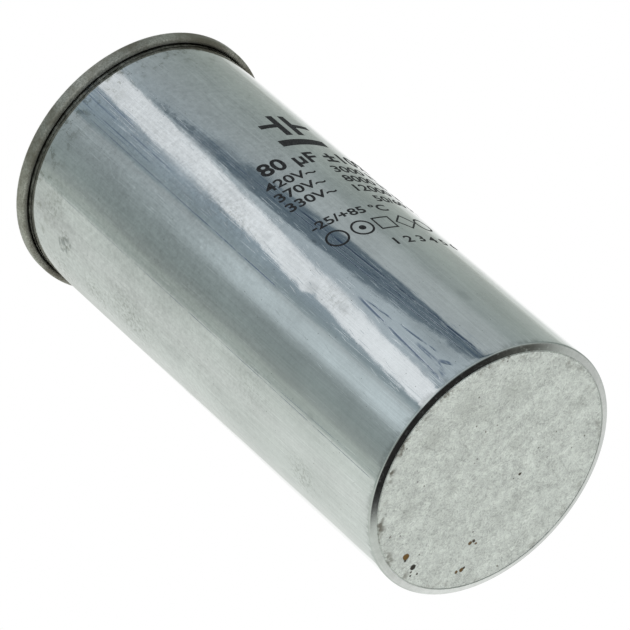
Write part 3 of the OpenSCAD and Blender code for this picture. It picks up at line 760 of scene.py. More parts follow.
def wall_look(tree, place, parts, angle):
    """(colour, roughness, height) of the drawn wall. The angle is in degrees from the printed middle."""
    up = parts["Z"]
    round_mm = times(tree, angle, around(1.0))
    spread = add(tree, "ShaderNodeCombineXYZ", {0: round_mm, 1: up, 2: 0.0}).outputs[0]
    found = wall_textures(tree, place, spread, angle, up)
    grime, shade_under_rim, foot = wall_grime_and_shade(tree, spread, found, up)
    tone = wall_tone(tree, found, angle, up)
    colour = add(tree, "ShaderNodeHueSaturation", {"Color": METAL, "Value": tone}).outputs[0]
    layers = (           # a mask, its strength and its shade
        (ovals(tree, spread, WALL_MARKS, 0.35, 1.25), 1.0, rgb(0.34, 0.36, 0.36)),
        (grime, 1.0, rgb(0.24, 0.245, 0.205)),
        # painted shade: the dark line under the rim
        (shade_under_rim, 0.85, rgb(0.08, 0.08, 0.075)),
        (found["pale_dots"], 0.35, rgb(0.93, 0.94, 0.93)),
        (found["dots"], 0.7, rgb(0.12, 0.12, 0.11)),
        (found["pale_hairs"], 0.18, rgb(0.95, 0.97, 1.0)),
        (found["bare"], 0.34, rgb(1.0, 1.0, 1.0)),
        # painted reflection: dark blue where the dark cards are mirrored
        (found["mirrored_blue"], 0.38, rgb(0.16, 0.25, 0.40)),
        (found["mirrored_dark_hairs"], 0.36, rgb(0.20, 0.30, 0.45)),
        # painted shade: the creases are darkened dark blue in colour as well as bumped
        (found["folds_and_shade"], 0.76, rgb(0.12, 0.18, 0.30)),
        (foot, 0.45, rgb(0.22, 0.23, 0.22)),
    )
    for mask, strength, shade in layers:
        colour = mix(tree, times(tree, mask, strength), colour, shade)
    roughness = sums(tree, "MULTIPLY_ADD", times(tree, found["dull"], found["frosty"]), 0.07, 0.04)
    roughness = sums(tree, "MULTIPLY_ADD", found["scratches"], 0.08, roughness)
    return colour, roughness, wall_height(tree, found)


print("bare metal:", [round(c, 3) for c in METAL[:3]])

# %% [markdown]
# ## The ring round the base
#
# The edge that the can stands on is rubbed bare. Dirt gathers in the corner between it and the frosted face,
# most of all on the left of the print, where a black band on the edge is a painted dark reflection. The far
# side of it is only dull.
# Each of these sides is a soft step over the place, measured towards one azimuth.

# %% Aluminium: the ring
BASE_FACE_R = 28.1       # where the flat base face ends and its fine groove begins
GROOVE_W = 0.3           # the groove's width
RING_R = BASE_FACE_R + GROOVE_W
DIRTY_SIDE = -159.0      # azimuths of the sides where the ring is dirty, painted black as a dark reflection, and dull
BLACK_REFLECTION_SIDE = -141.0
DULL_SIDE = -24.0


def from_axis(tree, parts):
    """How far a place lies from the can's axis, in millimetres."""
    y_square = times(tree, parts["Y"], parts["Y"])
    return sums(tree, "SQRT", sums(tree, "MULTIPLY_ADD", parts["X"], parts["X"], y_square))


def on_side(tree, parts, azimuth_deg):
    """1 at the wall on the side of an azimuth, -1 at the wall opposite and 0 between them."""
    azimuth = math.radians(azimuth_deg)
    along_y = times(tree, parts["Y"], math.sin(azimuth) / CAN_R)
    return sums(tree, "MULTIPLY_ADD", parts["X"], math.cos(azimuth) / CAN_R, along_y)


def over_ring(tree, place, parts, radius, is_edge, colour):
    """The colour with the ring's dirt, bare metal and a painted black reflection laid over it."""
    smear = grain(tree, place, 0.35, 3.0, 0.6)
    corner = times(tree, between(tree, radius, RING_R - 1.8, RING_R + 0.2, 2.0),
                  soft_step(tree, smear, 0.50, 0.68))
    dirty = soft_step(tree, on_side(tree, parts, DIRTY_SIDE), -0.39, 0.975, 0.35, 0.95)
    colour = mix(tree, times(tree, corner, dirty), colour, rgb(0.15, 0.135, 0.10))
    bare = mix(tree, smear, rgb(0.56, 0.58, 0.555), rgb(0.76, 0.785, 0.76))
    grainy = grain(tree, place, 1.6, 4.0, 0.7)
    dull = soft_step(tree, on_side(tree, parts, DULL_SIDE), -0.2, 0.6, 0.0, 0.75)
    bare = mix(tree, dull, bare, mix(tree, grainy, rgb(0.30, 0.31, 0.295), rgb(0.66, 0.68, 0.66)))
    colour = mix(tree, times(tree, is_edge, 0.85), colour, bare)
    # Painted reflection: a near-black band on the edge, on one side only, stands in for something dark
    # mirrored there; gaps in a noise let the bare metal through.
    black_reflection = times(tree, between(tree, radius, RING_R - 0.1, CAN_R - 0.25, 0.3),
                 soft_step(tree, parts["Z"], 0.5, 0.9, 1.0, 0.0))
    black_reflection_side = soft_step(tree, on_side(tree, parts, BLACK_REFLECTION_SIDE), 0.348, 0.715, 0.0, 0.95)
    black_reflection = times(tree, black_reflection, black_reflection_side)
    reflection_gaps = soft_step(tree, grain(tree, stretched(tree, place, 1.0, 1.0, 3.0), 0.9, 4.0, 0.7), 0.56, 0.68)
    black_reflection = times(tree, black_reflection, sums(tree, "MULTIPLY_ADD", reflection_gaps, -0.45, 1.0))
    black_reflection_colour = mix(tree, grain(tree, place, 1.3, 3.0, 0.6), rgb(0.02, 0.02, 0.02), rgb(0.16, 0.155, 0.14))
    return mix(tree, black_reflection, colour, black_reflection_colour)


print("ring from %.1f to %.1f mm" % (RING_R, CAN_R))

# %% [markdown]
# ## The can's material
#
# Base, ring and wall are one sheet without a seam, so they are one material. Three materials on three sets of
# faces would meet in hard lines. Here masks of the place blend them: the base lies inside the groove, the
# ring's edge is the lowest millimetre, and the wall is all the rest.

# %% Aluminium: the whole can
def can_metal():
    """The can's one material."""
    material, tree, shader, place = new_material("can_metal")
    parts = add(tree, "ShaderNodeSeparateXYZ", {0: place}).outputs
    to_front = times(tree, parts["Y"], -1.0)
    angle = sums(tree, "DEGREES", sums(tree, "ARCTAN2", parts["X"], to_front))
    radius = from_axis(tree, parts)
    base, base_rough, base_height = base_look(tree, place)
    wall, wall_rough, wall_height_mm = wall_look(tree, place, parts, angle)
    is_base = times(tree, soft_step(tree, radius, BASE_FACE_R + 0.05, RING_R, 1.0, 0.0),
                   soft_step(tree, parts["Z"], 0.3, 0.4, 1.0, 0.0))
    is_edge = sums(tree, "SUBTRACT", soft_step(tree, parts["Z"], 0.70, 0.95, 1.0, 0.0), is_base)
    colour = over_ring(tree, place, parts, radius, is_edge, mix(tree, is_base, wall, base))
    tree.links.new(colour, shader.inputs["Base Color"])
    rough = add(tree, "ShaderNodeMix", {0: is_base, 2: wall_rough, 3: base_rough}).outputs[0]
    tree.links.new(sums(tree, "MULTIPLY_ADD", is_edge, 0.08, rough), shader.inputs["Roughness"])
    height = add(tree, "ShaderNodeMix", {0: is_base, 2: wall_height_mm, 3: base_height}).outputs[0]
    height = times(tree, height, sums(tree, "MULTIPLY_ADD", is_edge, -0.85, 1.0))
    shader.inputs["Metallic"].default_value = 1.0
    bumped(tree, shader, height)
    return material


CAN_METAL = can_metal()
print("aluminium: %d nodes" % len(CAN_METAL.node_tree.nodes))

# %% [markdown]
# ## Waves and dents of the wall
#
# A drawn can is never perfectly straight, and the mirrored bands show it: they bend. The wall gets slow waves
# from a noise and a few shallow dents, none of them deeper than 0.03 mm. They are shape and not bump, so that
# the edges of the bands bend smoothly. Both die out towards the ends, where the base and the cover hold it.

# %% The wall's waves
DENTS = [                # degrees from the printed middle, height, half sizes round and along, depth, in mm
    (-53.0, 43.0, 7.0, 9.0, 0.030), (-53.8, 42.4, 1.6, 1.8, 0.012), (-44.0, 16.0, 5.0, 10.0, 0.022),
    (-70.0, 70.0, 9.0, 22.0, 0.018), (-84.0, 24.0, 8.0, 14.0, 0.020), (40.0, 60.0, 10.0, 18.0, 0.025),
    (120.0, 88.0, 9.0, 12.0, 0.03),
]
TRUE_BELOW, TRUE_ABOVE = 1.5, 124.5           # the wall has its exact radius below and above these heights
EASE = 8.0                                    # and eases into its waves over this length


def wall_offset(turn_deg, z_mm):
    """How far the wall's face lies off its true radius, in millimetres. It dies out at both ends."""
    at = math.radians(turn_deg)
    spot = Vector((CAN_R * math.cos(at), CAN_R * math.sin(at), z_mm * 0.35))
    offset = 0.020 * noise.noise(spot * 0.055) + 0.006 * noise.noise(spot * 0.17)
    for middle, height, half_round, half_along, depth in DENTS:
        across = around(math.remainder(turn_deg - middle, 360.0)) / half_round
        along = (z_mm - height) / half_along
        offset -= depth * math.exp(-across * across - along * along)
    low_end = min(1.0, max(0.0, (z_mm - TRUE_BELOW) / EASE))
    high_end = min(1.0, max(0.0, (TRUE_ABOVE - z_mm) / EASE))
    return offset * low_end * high_end


print("dents:", len(DENTS), "offset halfway up: %.3f mm" % wall_offset(0.0, 65.0))

# %% [markdown]
# ## The can
#
# One profile runs from the middle of the base, over the fine groove and the ring, up the wall, through the
# hook that the cover grips and down the inside again. A cylinder with modifiers would need more steps for
# the same section. The wall is cut into rings about a millimetre high, so that it can follow its waves.

# %% The can's shell
GROOVE_D = 0.15          # depth of the groove round the base face
RING_EDGE = (29.5, 0.32)                      # where the sloping ring meets the corner of the wall
CORNER_R, CORNER_Z = 0.4, 0.75                # bend between the ring and the wall
MARK_LOW, MARK_HIGH, MARK_D = 125.9, 126.7, 0.08           # the faint mark that the seaming roll leaves
HOOK_BEND = 0.3          # inner radius of the hook that the cover grips
HOOK_FOOT = 127.55       # where the hook ends


def can_profile():
    """From the middle of the base outwards, up the wall, over the hook and down the inside again."""
    profile = [(0.0, 0.0)] + line((0, 0), (BASE_FACE_R, 0), 12)
    for share, deep in ((0.1, 0.10), (1 / 3, GROOVE_D), (2 / 3, GROOVE_D), (0.9, 0.10), (1.0, 0.0)):
        profile.append((BASE_FACE_R + share * GROOVE_W, deep))
    profile += line((RING_R, 0), RING_EDGE, 4)
    profile += arc((CAN_R - CORNER_R, CORNER_Z), CORNER_R, -80, 0, 8)
    profile += line((CAN_R, CORNER_Z), (CAN_R, MARK_LOW), 125)
    for i in range(1, 9):
        share = i / 8
        sunk = MARK_D * math.sin(math.pi * share)
        profile.append((CAN_R - sunk, MARK_LOW + (MARK_HIGH - MARK_LOW) * share))
    hook_x, hook_z = CAN_R + HOOK_BEND, HOOK_TOP - HOOK_BEND - WALL_T
    profile += line((CAN_R, MARK_HIGH), (CAN_R, hook_z), 2)
    profile += arc((hook_x, hook_z), HOOK_BEND, 180, 0, 8)
    profile += [(HOOK_R - WALL_T, HOOK_FOOT), (HOOK_R, HOOK_FOOT)]
    profile += arc((hook_x, hook_z), HOOK_BEND + WALL_T, 0, 180, 12)
    inside = CAN_R - WALL_T
    profile += line((inside, hook_z), (inside, BASE_T + 0.2), 6)
    profile += arc((inside - 0.2, BASE_T + 0.2), 0.2, 0, -90, 4)[1:]
    return profile + line((inside - 0.2, BASE_T), (0, BASE_T), 4)


def make_can():
    """The spun can, with its wall bent by its waves and dents."""
    bm = spun(can_profile())
    for vert in bm.verts:
        radius = math.hypot(vert.co.x, vert.co.y)
        if radius > (CAN_R - WALL_T / 2) * MM and TRUE_BELOW < vert.co.z / MM < TRUE_ABOVE:
            turn_deg = math.degrees(math.atan2(vert.co.x, -vert.co.y))
            grown = (radius + wall_offset(turn_deg, vert.co.z / MM) * MM) / radius
            vert.co.x *= grown
            vert.co.y *= grown
    return bm


can_shell = piece("can_shell", make_can(), CAN_METAL, 35.0)
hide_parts("can")

# %% [markdown]
# ## Tinplate and the cover
#
# The cover is tinned steel. Where the seaming rolls pressed it over the can it has lost its shine: the rim
# is a dull grey-brown, blotched darker where grease and rust have settled. A slow noise makes the blotches
# and a fine one the grain.

# %% Tinplate
def tinplate():
    """Grainy tinned steel, blotched on the rim and nearly clean in the middle, with painted shade on the
    rim's lower turn.
    """
    material, tree, shader, place = new_material("tinplate")
    parts = add(tree, "ShaderNodeSeparateXYZ", {0: place}).outputs
    blotch = grain(tree, place, 0.11, 4.0, 0.62)
    fleck = grain(tree, place, 2.2, 5.0, 0.8)
    scuff = grain(tree, stretched(tree, place, 0.25, 0.25, 4.0), 1.1, 2.0, 0.5)
    clean = mix(tree, soft_step(tree, fleck, 0.33, 0.67), rgb(0.25, 0.25, 0.21), rgb(0.60, 0.595, 0.53))
    outwards = soft_step(tree, from_axis(tree, parts), 24.0, CAN_R, 0.30, 1.0)
    stain = times(tree, soft_step(tree, blotch, 0.36, 0.70), outwards)
    stained = mix(tree, stain, clean, rgb(0.215, 0.20, 0.155))
    spotted = mix(tree, soft_step(tree, fleck, 0.66, 0.78), stained, rgb(0.12, 0.09, 0.06))
    # Painted shade: the rim's lower turn, which faces the wall, is darkened by height, broken up by the fine
    # flecks.
    under = sums(tree, "MULTIPLY_ADD", fleck, 0.5, parts["Z"])
    shaded_underside = mix(tree, soft_step(tree, under, 127.0, 127.45, 0.42, 0.0), spotted, rgb(0.06, 0.058, 0.05))
    is_rim = soft_step(tree, parts["Z"], 126.3, 126.6)
    tree.links.new(mix(tree, is_rim, spotted, shaded_underside), shader.inputs["Base Color"])
    tree.links.new(sums(tree, "MULTIPLY_ADD", blotch, 0.25, 0.30), shader.inputs["Roughness"])
    shader.inputs["Metallic"].default_value = 0.9
    bumped(tree, shader, sums(tree, "MULTIPLY_ADD", fleck, 0.030, times(tree, scuff, 0.005)))
    return material


TINPLATE = tinplate()
print("tinplate: %d nodes" % len(TINPLATE.node_tree.nodes))

# %% [markdown]
# ## The cover with its rolled rim
#
# The cover is one sheet: a raised middle, a channel round it, up the inside of the can, over its hook, down
# outside and up again under it. The upper face is followed first and then the lower one on the way back, so
# each bend is two arcs about one middle whose radii differ by the sheet's thickness.

# %% The cover's profile
PLATFORM_R = 20.7                             # the raised middle's flat part
SLOPE_FOOT_R = 22.7                           # where its slope meets the channel
CHANNEL_BEND = 0.6                            # bend between the channel and the wall
FOLD_R = 0.9                                  # the two bends on top of the rim
CURL_R = 0.75                                 # the bend under the hook
SHEET_GAP = 0.1                               # between the cover and the inside of the can
channel_z = COVER_FOOT + COVER_T
platform_z = channel_z + 1.0


def cover_profile():
    """From the middle of the upper face out to the edge under the hook, and back on the lower face."""
    outer_x = CAN_R - WALL_T - SHEET_GAP
    inner_x = outer_x - COVER_T
    channel = (inner_x - CHANNEL_BEND, channel_z + CHANNEL_BEND)
    first_fold = (inner_x + FOLD_R, RIM_TOP - FOLD_R)
    second_fold = (RIM_R - FOLD_R, RIM_TOP - FOLD_R)
    curl = (RIM_R - CURL_R, HOOK_FOOT)
    tuck_top = HOOK_TOP - HOOK_BEND - WALL_T
    profile = [(0, platform_z), (PLATFORM_R, platform_z), (PLATFORM_R + 0.4, platform_z - 0.1)]
    profile += [(SLOPE_FOOT_R - 0.4, channel_z + 0.08), (SLOPE_FOOT_R, channel_z), (channel[0], channel_z)]
    profile += arc(channel, CHANNEL_BEND, -90, 0, 6)[1:]
    profile += line((inner_x, channel[1]), (inner_x, first_fold[1]), 3)
    profile += arc(first_fold, FOLD_R, 180, 90, 8)[1:] + arc(second_fold, FOLD_R, 90, 0, 8)
    profile += line((RIM_R, second_fold[1]), (RIM_R, HOOK_FOOT), 3) + arc(curl, CURL_R, 0, -180, 12)[1:]
    profile += [(curl[0] - CURL_R, tuck_top), (curl[0] - CURL_R + COVER_T, tuck_top)]
    profile += [(curl[0] - CURL_R + COVER_T, HOOK_FOOT)] + arc(curl, CURL_R - COVER_T, -180, 0, 8)[1:]
    profile += [(RIM_R - COVER_T, second_fold[1])] + arc(second_fold, FOLD_R - COVER_T, 0, 90, 6)[1:]
    profile += [(first_fold[0], RIM_TOP - COVER_T)] + arc(first_fold, FOLD_R - COVER_T, 90, 180, 6)[1:]
    profile += [(outer_x, channel[1])] + arc(channel, CHANNEL_BEND + COVER_T, 0, -90, 6)[1:]
    return profile + [(SLOPE_FOOT_R - 0.1, COVER_FOOT), (PLATFORM_R + 0.3, platform_z - COVER_T),
                      (0, platform_z - COVER_T)]


print("points in the cover's profile:", len(cover_profile()))

# %% [markdown]
# ## Holes for the terminals
#
# The two rivets go through round holes in the raised middle. A spun sheet has no edges there to make a hole
# from, so a pair of cylinders is cut out of it by a Boolean, which is applied at once.

# %% Spin and drill the cover
HOLE_R = 3.45


def evaluated_mesh(holder):
    """A mesh of an object with its modifiers applied, or of a text."""
    bpy.context.view_layer.update()
    return bpy.data.meshes.new_from_object(holder.evaluated_get(bpy.context.evaluated_depsgraph_get()))


def drilled(made, centres, radius_mm):
    """Cuts round holes along Z through the piece."""
    bm = bmesh.new()
    for x in centres:
        bmesh.ops.create_cone(bm, cap_ends=True, segments=64, radius1=radius_mm * MM, radius2=radius_mm * MM,
                              depth=6 * MM, matrix=Matrix.Translation((x * MM, 0, (platform_z - 0.2) * MM)))
    drill = placed("drill", mesh_of("drill", bm))
    cut = made.modifiers.new("holes", "BOOLEAN")
    cut.object = drill
    cut.operation = "DIFFERENCE"
    cut.solver = "EXACT"
    result = evaluated_mesh(made)
    made.modifiers.clear()
    made.data = result
    bpy.data.objects.remove(drill)
    result.set_sharp_from_angle(angle=math.radians(35.0))


rolled_cover = piece("rolled_cover", spun(cover_profile()), TINPLATE, 35.0)
drilled(rolled_cover, (-TERMINAL_X, TERMINAL_X), HOLE_R)
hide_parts("cover")
print("cover after drilling, faces:", len(rolled_cover.data.polygons))

# %% [markdown]
# ## Finishes of the other pieces
#
# The terminals and the parts sealed inside keep the shapes of the construction. Each finish is a row in a
# table: two tones that a noise mixes, how metallic and how rough it is, and how its grain is drawn out.

# %% A table of plain finishes
FINISHES = {             # light tone, dark tone, metallic, roughness, grain per mm, grain stretch, bump in mm
    "compound": ((0.10, 0.10, 0.09), (0.05, 0.05, 0.045), 0.0, 0.60, 1.2, (1, 1, 1), 0.010),
    "liner_board": ((0.45, 0.38, 0.27), (0.36, 0.29, 0.19), 0.0, 0.85, 1.4, (1, 1, 0.4), 0.008),
    "holder_plastic": ((0.16, 0.16, 0.15), (0.12, 0.12, 0.115), 0.0, 0.50, 2.0, (1, 1, 1), 0.004),
    "core_plastic": ((0.62, 0.60, 0.55), (0.52, 0.50, 0.45), 0.0, 0.45, 1.0, (1, 1, 0.2), 0.003),
    "film": ((0.56, 0.57, 0.58), (0.44, 0.45, 0.47), 0.75, 0.30, 1.5, (1, 1, 0.1), 0.004),
    "wrap_film": ((0.50, 0.40, 0.20), (0.40, 0.31, 0.14), 0.0, 0.30, 0.8, (1, 1, 0.3), 0.004),
    "sprayed_metal": ((0.42, 0.42, 0.40), (0.26, 0.26, 0.25), 0.7, 0.75, 3.5, (1, 1, 1), 0.030),
    "plate_board": ((0.24, 0.13, 0.07), (0.16, 0.08, 0.04), 0.0, 0.60, 1.3, (0.3, 2, 1), 0.006),
    "solder": ((0.58, 0.58, 0.57), (0.42, 0.42, 0.42), 0.9, 0.35, 1.0, (1, 1, 1), 0.012),
    "tab_metal": ((0.66, 0.65, 0.62), (0.50, 0.49, 0.46), 0.95, 0.28, 2.2, (0.3, 1, 0.15), 0.004),
    "rivet_metal": ((0.62, 0.61, 0.58), (0.44, 0.43, 0.40), 0.95, 0.32, 1.8, (1, 1, 1), 0.006),
    "insulator_plastic": ((0.055, 0.055, 0.058), (0.030, 0.030, 0.032), 0.0, 0.42, 2.4, (1, 1, 1), 0.004),
    "seal_rubber": ((0.06, 0.06, 0.06), (0.035, 0.035, 0.035), 0.0, 0.70, 1.6, (1, 1, 1), 0.008),
    "pin_metal": ((0.62, 0.60, 0.52), (0.48, 0.45, 0.38), 0.95, 0.30, 2.0, (1, 1, 0.2), 0.003),
    "wire_metal": ((0.62, 0.60, 0.56), (0.50, 0.48, 0.44), 0.95, 0.35, 2.0, (1, 1, 0.3), 0.003),
    "sleeve_plastic": ((0.40, 0.06, 0.05), (0.30, 0.04, 0.035), 0.0, 0.45, 1.5, (1, 1, 1), 0.004),
}


def plain_finish(name, light, dark, metallic, roughness, scale, stretch, bump_mm):
    """One finish of the table."""
    material, tree, shader, place = new_material(name)
    texture = grain(tree, stretched(tree, place, *stretch), scale, 3.0, 0.6)
    patches = grain(tree, place, 0.15, 2.0, 0.5)
    tone = soft_step(tree, sums(tree, "MULTIPLY_ADD", patches, 0.5, times(tree, texture, 0.5)),
                     0.36, 0.64)
    tree.links.new(mix(tree, tone, rgb(*dark), rgb(*light)), shader.inputs["Base Color"])
    tree.links.new(sums(tree, "MULTIPLY_ADD", texture, 0.16, roughness - 0.08), shader.inputs["Roughness"])
    shader.inputs["Metallic"].default_value = metallic
    bumped(tree, shader, times(tree, texture, bump_mm))
    return material


finishes = {name: plain_finish(name, *row) for name, row in FINISHES.items()}
finishes["can_metal"] = CAN_METAL
finishes["tinplate"] = TINPLATE
for name, obj in nodes.items():
    for holder in obj.material_slots:
        key = next((f for f in sorted(finishes, key=len, reverse=True) if f in holder.material.name), None)
        if key is None:
            print("no finish for", name, holder.material.name)
        else:
            holder.material = finishes[key]
print("finishes:", len(finishes))

# %% [markdown]
# ## Terminals
#
# The blades, rivets and insulators keep their construction, but no pressed or moulded edge is truly sharp.
# A sharp edge catches no light, so each gets a merged copy of its solid with a small bevel on such edges.

# %% Round the edges of the terminals
SHARP = math.radians(30.0)                    # edges whose faces turn by more than this are rounded


def softened(name, node, slot, width_mm, segments):
    """A copy of a node's solid with its sharp edges rounded, which replaces the node."""
    bm = bmesh.new()
    bm.from_mesh(nodes[node].data)
    bm.transform(nodes[node].matrix_world)
    bmesh.ops.remove_doubles(bm, verts=bm.verts, dist=1e-6)
    bmesh.ops.dissolve_limit(bm, angle_limit=math.radians(1.0), verts=bm.verts, edges=bm.edges)
    sharp = [e for e in bm.edges if len(e.link_faces) == 2 and e.calc_face_angle() > SHARP]
    bmesh.ops.bevel(bm, geom=sharp, offset=width_mm * MM, offset_type="OFFSET", segments=segments,
                    profile=0.5, material=-1, affect="EDGES", clamp_overlap=True)
    bmesh.ops.triangulate(bm, faces=[f for f in bm.faces if len(f.verts) > 4])
    tidy(bm, 1e-8)
    made = piece(name, bm, finishes[slot])
    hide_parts(node)


for side in ("left", "right"):
    softened(side + "_blades", side + "_tabs", "tab_metal", 0.09, 2)
    softened(side + "_rivet_shape", side + "_rivet", "rivet_metal", 0.18, 3)
    softened(side + "_terminal_block", side + "_outer_insulator", "insulator_plastic", 0.25, 3)

# %% [markdown]
# ## The print
#
# A real capacitor is stamped in dark ink with its values. Here only plain generic figures stand in their
# places: a circuit symbol, the values that such a part has, and a row of simple shapes.
# All of it is drawn flat in millimetres, with x round the can and y up it. Then it is cut into narrow strips
# so that it can bend, thickened to a film of ink, and wrapped on the wall.

# %% Flat text
def figure_height():
    """How tall the built-in font's figures are at size 1."""
    curve = bpy.data.curves.new("figure", "FONT")
    curve.body = "8"
    holder = placed("figure", curve)
    bpy.context.view_layer.update()
    tall = holder.dimensions.y
    bpy.data.objects.remove(holder)
    return tall


def flat_text(bm, body, left, low, height, weight=0.021, wide=1.26):
    """Adds a line of text, scaled so that its figures have the given height."""
    curve = bpy.data.curves.new("line", "FONT")
    curve.body = body
    curve.size = 1.0
    curve.offset = weight
    curve.resolution_u = 4
    holder = placed("line", curve)
    mesh = evaluated_mesh(holder)
    bpy.data.objects.remove(holder)
    grown = height / FIGURE_H
    first = min(v.co.x for v in mesh.vertices)
    for vert in mesh.vertices:
        vert.co = Vector((left + (vert.co.x - first) * grown * wide, low + vert.co.y * grown, 0))
    bm.from_mesh(mesh)
    bpy.data.meshes.remove(mesh)


FIGURE_H = figure_height()
print("figure height at size 1: %.3f" % FIGURE_H)

# %% [markdown]
# ## Bars, rings and discs
#
# The plain shapes come from the same few operators: a grid is a bar, two bridged circles are a ring, and a
# circle with four corners is a square frame.

# %% Flat shapes
def flat_bar(bm, x0, y0, x1, y1):
    """Adds a rectangle."""
    matrix = Matrix.Translation(((x0 + x1) / 2, (y0 + y1) / 2, 0)) @ Matrix.Diagonal((x1 - x0, y1 - y0, 1, 1))
    bmesh.ops.create_grid(bm, x_segments=1, y_segments=1, size=0.5, matrix=matrix)


def flat_ring(bm, x, y, outer, inner, corners=64, turned=0.0):
    """Adds a ring, or a frame with few corners."""
    edges = []
    for radius in (outer, inner):
        matrix = Matrix.Translation((x, y, 0)) @ Matrix.Rotation(turned, 4, "Z")
        loop = bmesh.ops.create_circle(bm, cap_ends=False, radius=radius, segments=corners, matrix=matrix)
        edges += list({e for v in loop["verts"] for e in v.link_edges})
    bmesh.ops.bridge_loops(bm, edges=edges)


def flat_disc(bm, x, y, radius):
    """Adds a filled disc."""
    bmesh.ops.create_circle(bm, cap_ends=True, radius=radius, segments=32,
                            matrix=Matrix.Translation((x, y, 0)))


print("shapes ready: bar, ring, disc")

# %% [markdown]
# ## Ink
#
# Stamping ink is nearly black and dries with a faint shine. A mask in the can's metal could draw it too, but
# a film of its own keeps sharp edges at any distance and can be left off.

# %% Ink
def print_ink():
    """Near-black stamping ink, a little worn."""
    material, tree, shader, place = new_material("print_ink")
    worn = grain(tree, place, 2.6, 3.0, 0.65)
    flecks = grain(tree, place, 7.0, 2.0, 0.6)
    colour = mix(tree, soft_step(tree, worn, 0.35, 0.72), rgb(0.009, 0.009, 0.010), rgb(0.030, 0.031, 0.033))
    tree.links.new(colour, shader.inputs["Base Color"])
    tree.links.new(sums(tree, "MULTIPLY_ADD", flecks, 0.2, 0.42), shader.inputs["Roughness"])
    shader.inputs["Specular IOR Level"].default_value = 0.15
    bumped(tree, shader, times(tree, flecks, 0.004))
    return material


PRINT_INK = print_ink()
print("ink: %d nodes" % len(PRINT_INK.node_tree.nodes))

# %% [markdown]
# ## Wrapping the print
#
# The flat drawing is cut into strips, because a wide face can't bend. It is then thickened, and each corner
# is moved to its place round the can, on top of the wall's waves.

# %% Wrap the print
INK_T = 0.025            # thickness of the ink in millimetres
INK_SUNK = 0.012         # how deep its back sits in the wall, so that no gap shows
STRIP = 1.0              # width of the strips it is cut into


def wrap_print(name, bm):
    """Cuts the flat artwork into strips, thickens it and bends it round the can."""
    bmesh.ops.remove_doubles(bm, verts=bm.verts, dist=1e-4)
    low = min(v.co.x for v in bm.verts)
    high = max(v.co.x for v in bm.verts)
    for i in range(int(math.floor(low / STRIP)) + 1, int(math.ceil(high / STRIP))):
        bmesh.ops.bisect_plane(bm, geom=bm.verts[:] + bm.edges[:] + bm.faces[:], dist=1e-5,
                               plane_co=(i * STRIP, 0, 0), plane_no=(1, 0, 0))
    bmesh.ops.recalc_face_normals(bm, faces=bm.faces)
    for face in bm.faces:
        if face.normal.z < 0:
            face.normal_flip()
    lifted = bmesh.ops.extrude_face_region(bm, geom=bm.faces[:], use_keep_orig=True)
    for item in lifted["geom"]:
        if isinstance(item, bmesh.types.BMVert):
            item.co.z = INK_T
    bmesh.ops.recalc_face_normals(bm, faces=bm.faces)
    for vert in bm.verts:
        turn_deg = math.degrees(vert.co.x / CAN_R)
        radius = CAN_R + wall_offset(turn_deg, vert.co.y) - INK_SUNK + vert.co.z
        at = math.radians(turn_deg)
        vert.co = Vector((radius * math.sin(at), -radius * math.cos(at), vert.co.y)) * MM
    return piece(name, bm, PRINT_INK, 40.0)


print("ink stands %.3f mm proud of the wall" % (INK_T - INK_SUNK))

# %% [markdown]
# ## The printed pieces
#
# Each piece of the print is one drawing. Its places are degrees round the can from the printed middle, which
# the helper turns into millimetres, and heights. The symbol is two plates with their leads.

# %% The circuit symbol of a capacitor and a bar under it
symbol = bmesh.new()
for side in (-1, 1):
    plate = sorted((side * 0.8, side * 2.5))
    lead = sorted((side * 2.5, side * 6.8))
    flat_bar(symbol, plate[0], 86.4, plate[1], 94.6)
    flat_bar(symbol, lead[0], 89.8, lead[1], 91.2)
flat_bar(symbol, around(-12), 82.2, around(12), 84.6)
wrap_print("printed_symbol", symbol)

# %% [markdown]
# ## The values
#
# A run capacitor states its capacitance, the hours it lasts at three voltages, its frequency and the
# temperatures it stands. The figures here are plain ones of the kind.

# %% The values
LEFT_MARGIN = around(-35)
ROW_TOP, ROW_STEP, ROW_H = 70.4, 4.0, 2.6     # the rows of voltages: the first one's foot, pitch and height
SMALL_H = 2.4

values = bmesh.new()
flat_text(values, "80 µF ±10%", around(-31), 75.0, 4.0, 0.026, 1.12)
for row, (voltage, hours) in enumerate((("420V~", "3000 h"), ("370V~", "8000 h"), ("330V~", "12000 h"))):
    flat_text(values, voltage, LEFT_MARGIN, ROW_TOP - ROW_STEP * row, ROW_H)
    flat_text(values, hours, around(-2), ROW_TOP - ROW_STEP * row, ROW_H)
flat_text(values, "50/60 Hz", around(2), 58.1, SMALL_H)
flat_text(values, "-25/+85 °C", LEFT_MARGIN, 54.0, SMALL_H)
flat_text(values, "1 2 3 4 5 6", around(-12), 41.2, SMALL_H)
wrap_print("printed_values", values)

# %% [markdown]
# ## A row of plain shapes
#
# A real can has a row of approval marks here. Plain rings and frames stand in their places, at their sizes.

# %% The row of plain shapes
SHAPES_Z = 49.4

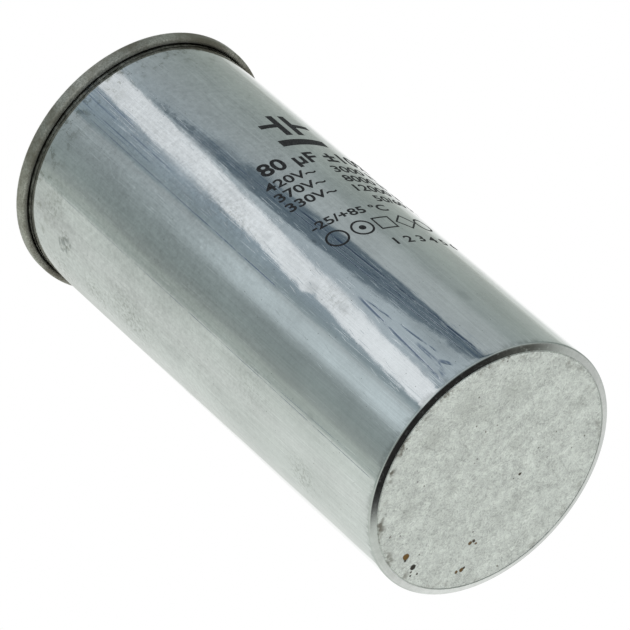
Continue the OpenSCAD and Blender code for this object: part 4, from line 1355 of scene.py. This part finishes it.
shapes = bmesh.new()
flat_ring(shapes, around(-30), SHAPES_Z, 2.6, 2.1)
flat_ring(shapes, around(-18), SHAPES_Z, 2.6, 2.1)
flat_disc(shapes, around(-18), SHAPES_Z, 0.8)
flat_ring(shapes, around(-7), SHAPES_Z, 3.2, 2.6, 4, math.pi / 4)
flat_ring(shapes, around(4), SHAPES_Z, 2.9, 2.3, 4)
flat_ring(shapes, around(14), SHAPES_Z, 2.4, 1.9)
wrap_print("printed_shapes", shapes)

# %% [markdown]
# ## The floor
#
# The can stands on a plain pale floor, which belongs to the studio. It is there for a camera above it and
# clear for one below, since the closed end is looked at from below.

# %% The floor
FLOOR_DROP = 0.2         # how far the floor lies below the base, in millimetres


def make_floor():
    """A wide pale sheet that fades out far from the can, and that is clear from below."""
    bm = bmesh.new()
    bmesh.ops.create_grid(bm, x_segments=1, y_segments=1, size=1.2,
                          matrix=Matrix.Translation((0, 0, -FLOOR_DROP * MM)))
    made = placed("floor", mesh_of("floor", bm))
    material = bpy.data.materials.new("floor_paint")
    tree = empty_net(material)
    place = add(tree, "ShaderNodeTexCoord").outputs["Object"]
    speckle = grain(tree, place, 900.0, 2.0, 0.5)
    paint = mix(tree, speckle, rgb(0.80, 0.80, 0.80), rgb(0.84, 0.84, 0.84))
    surface = add(tree, "ShaderNodeBsdfDiffuse", {"Color": paint}).outputs[0]
    clear = add(tree, "ShaderNodeBsdfTransparent").outputs[0]
    away = vectors(tree, "LENGTH", place)
    near = soft_step(tree, away, 0.06, 0.30, 1.0, 0.0)
    rays = add(tree, "ShaderNodeLightPath").outputs
    facing = sums(tree, "SUBTRACT", 1.0, add(tree, "ShaderNodeNewGeometry").outputs["Backfacing"])
    shown = times(tree, times(tree, near, facing), rays["Is Camera Ray"])
    whole = add(tree, "ShaderNodeMixShader", {0: shown, 1: clear, 2: surface}).outputs[0]
    output = add(tree, "ShaderNodeOutputMaterial")
    tree.links.new(whole, output.inputs["Surface"])
    made.data.materials.append(material)


make_floor()
print("floor below the base: %.1f mm" % FLOOR_DROP)

# %% [markdown]
# ## The last step
#
# The view layer is brought up to date.

# %% Update the view layer
bpy.context.view_layer.update()
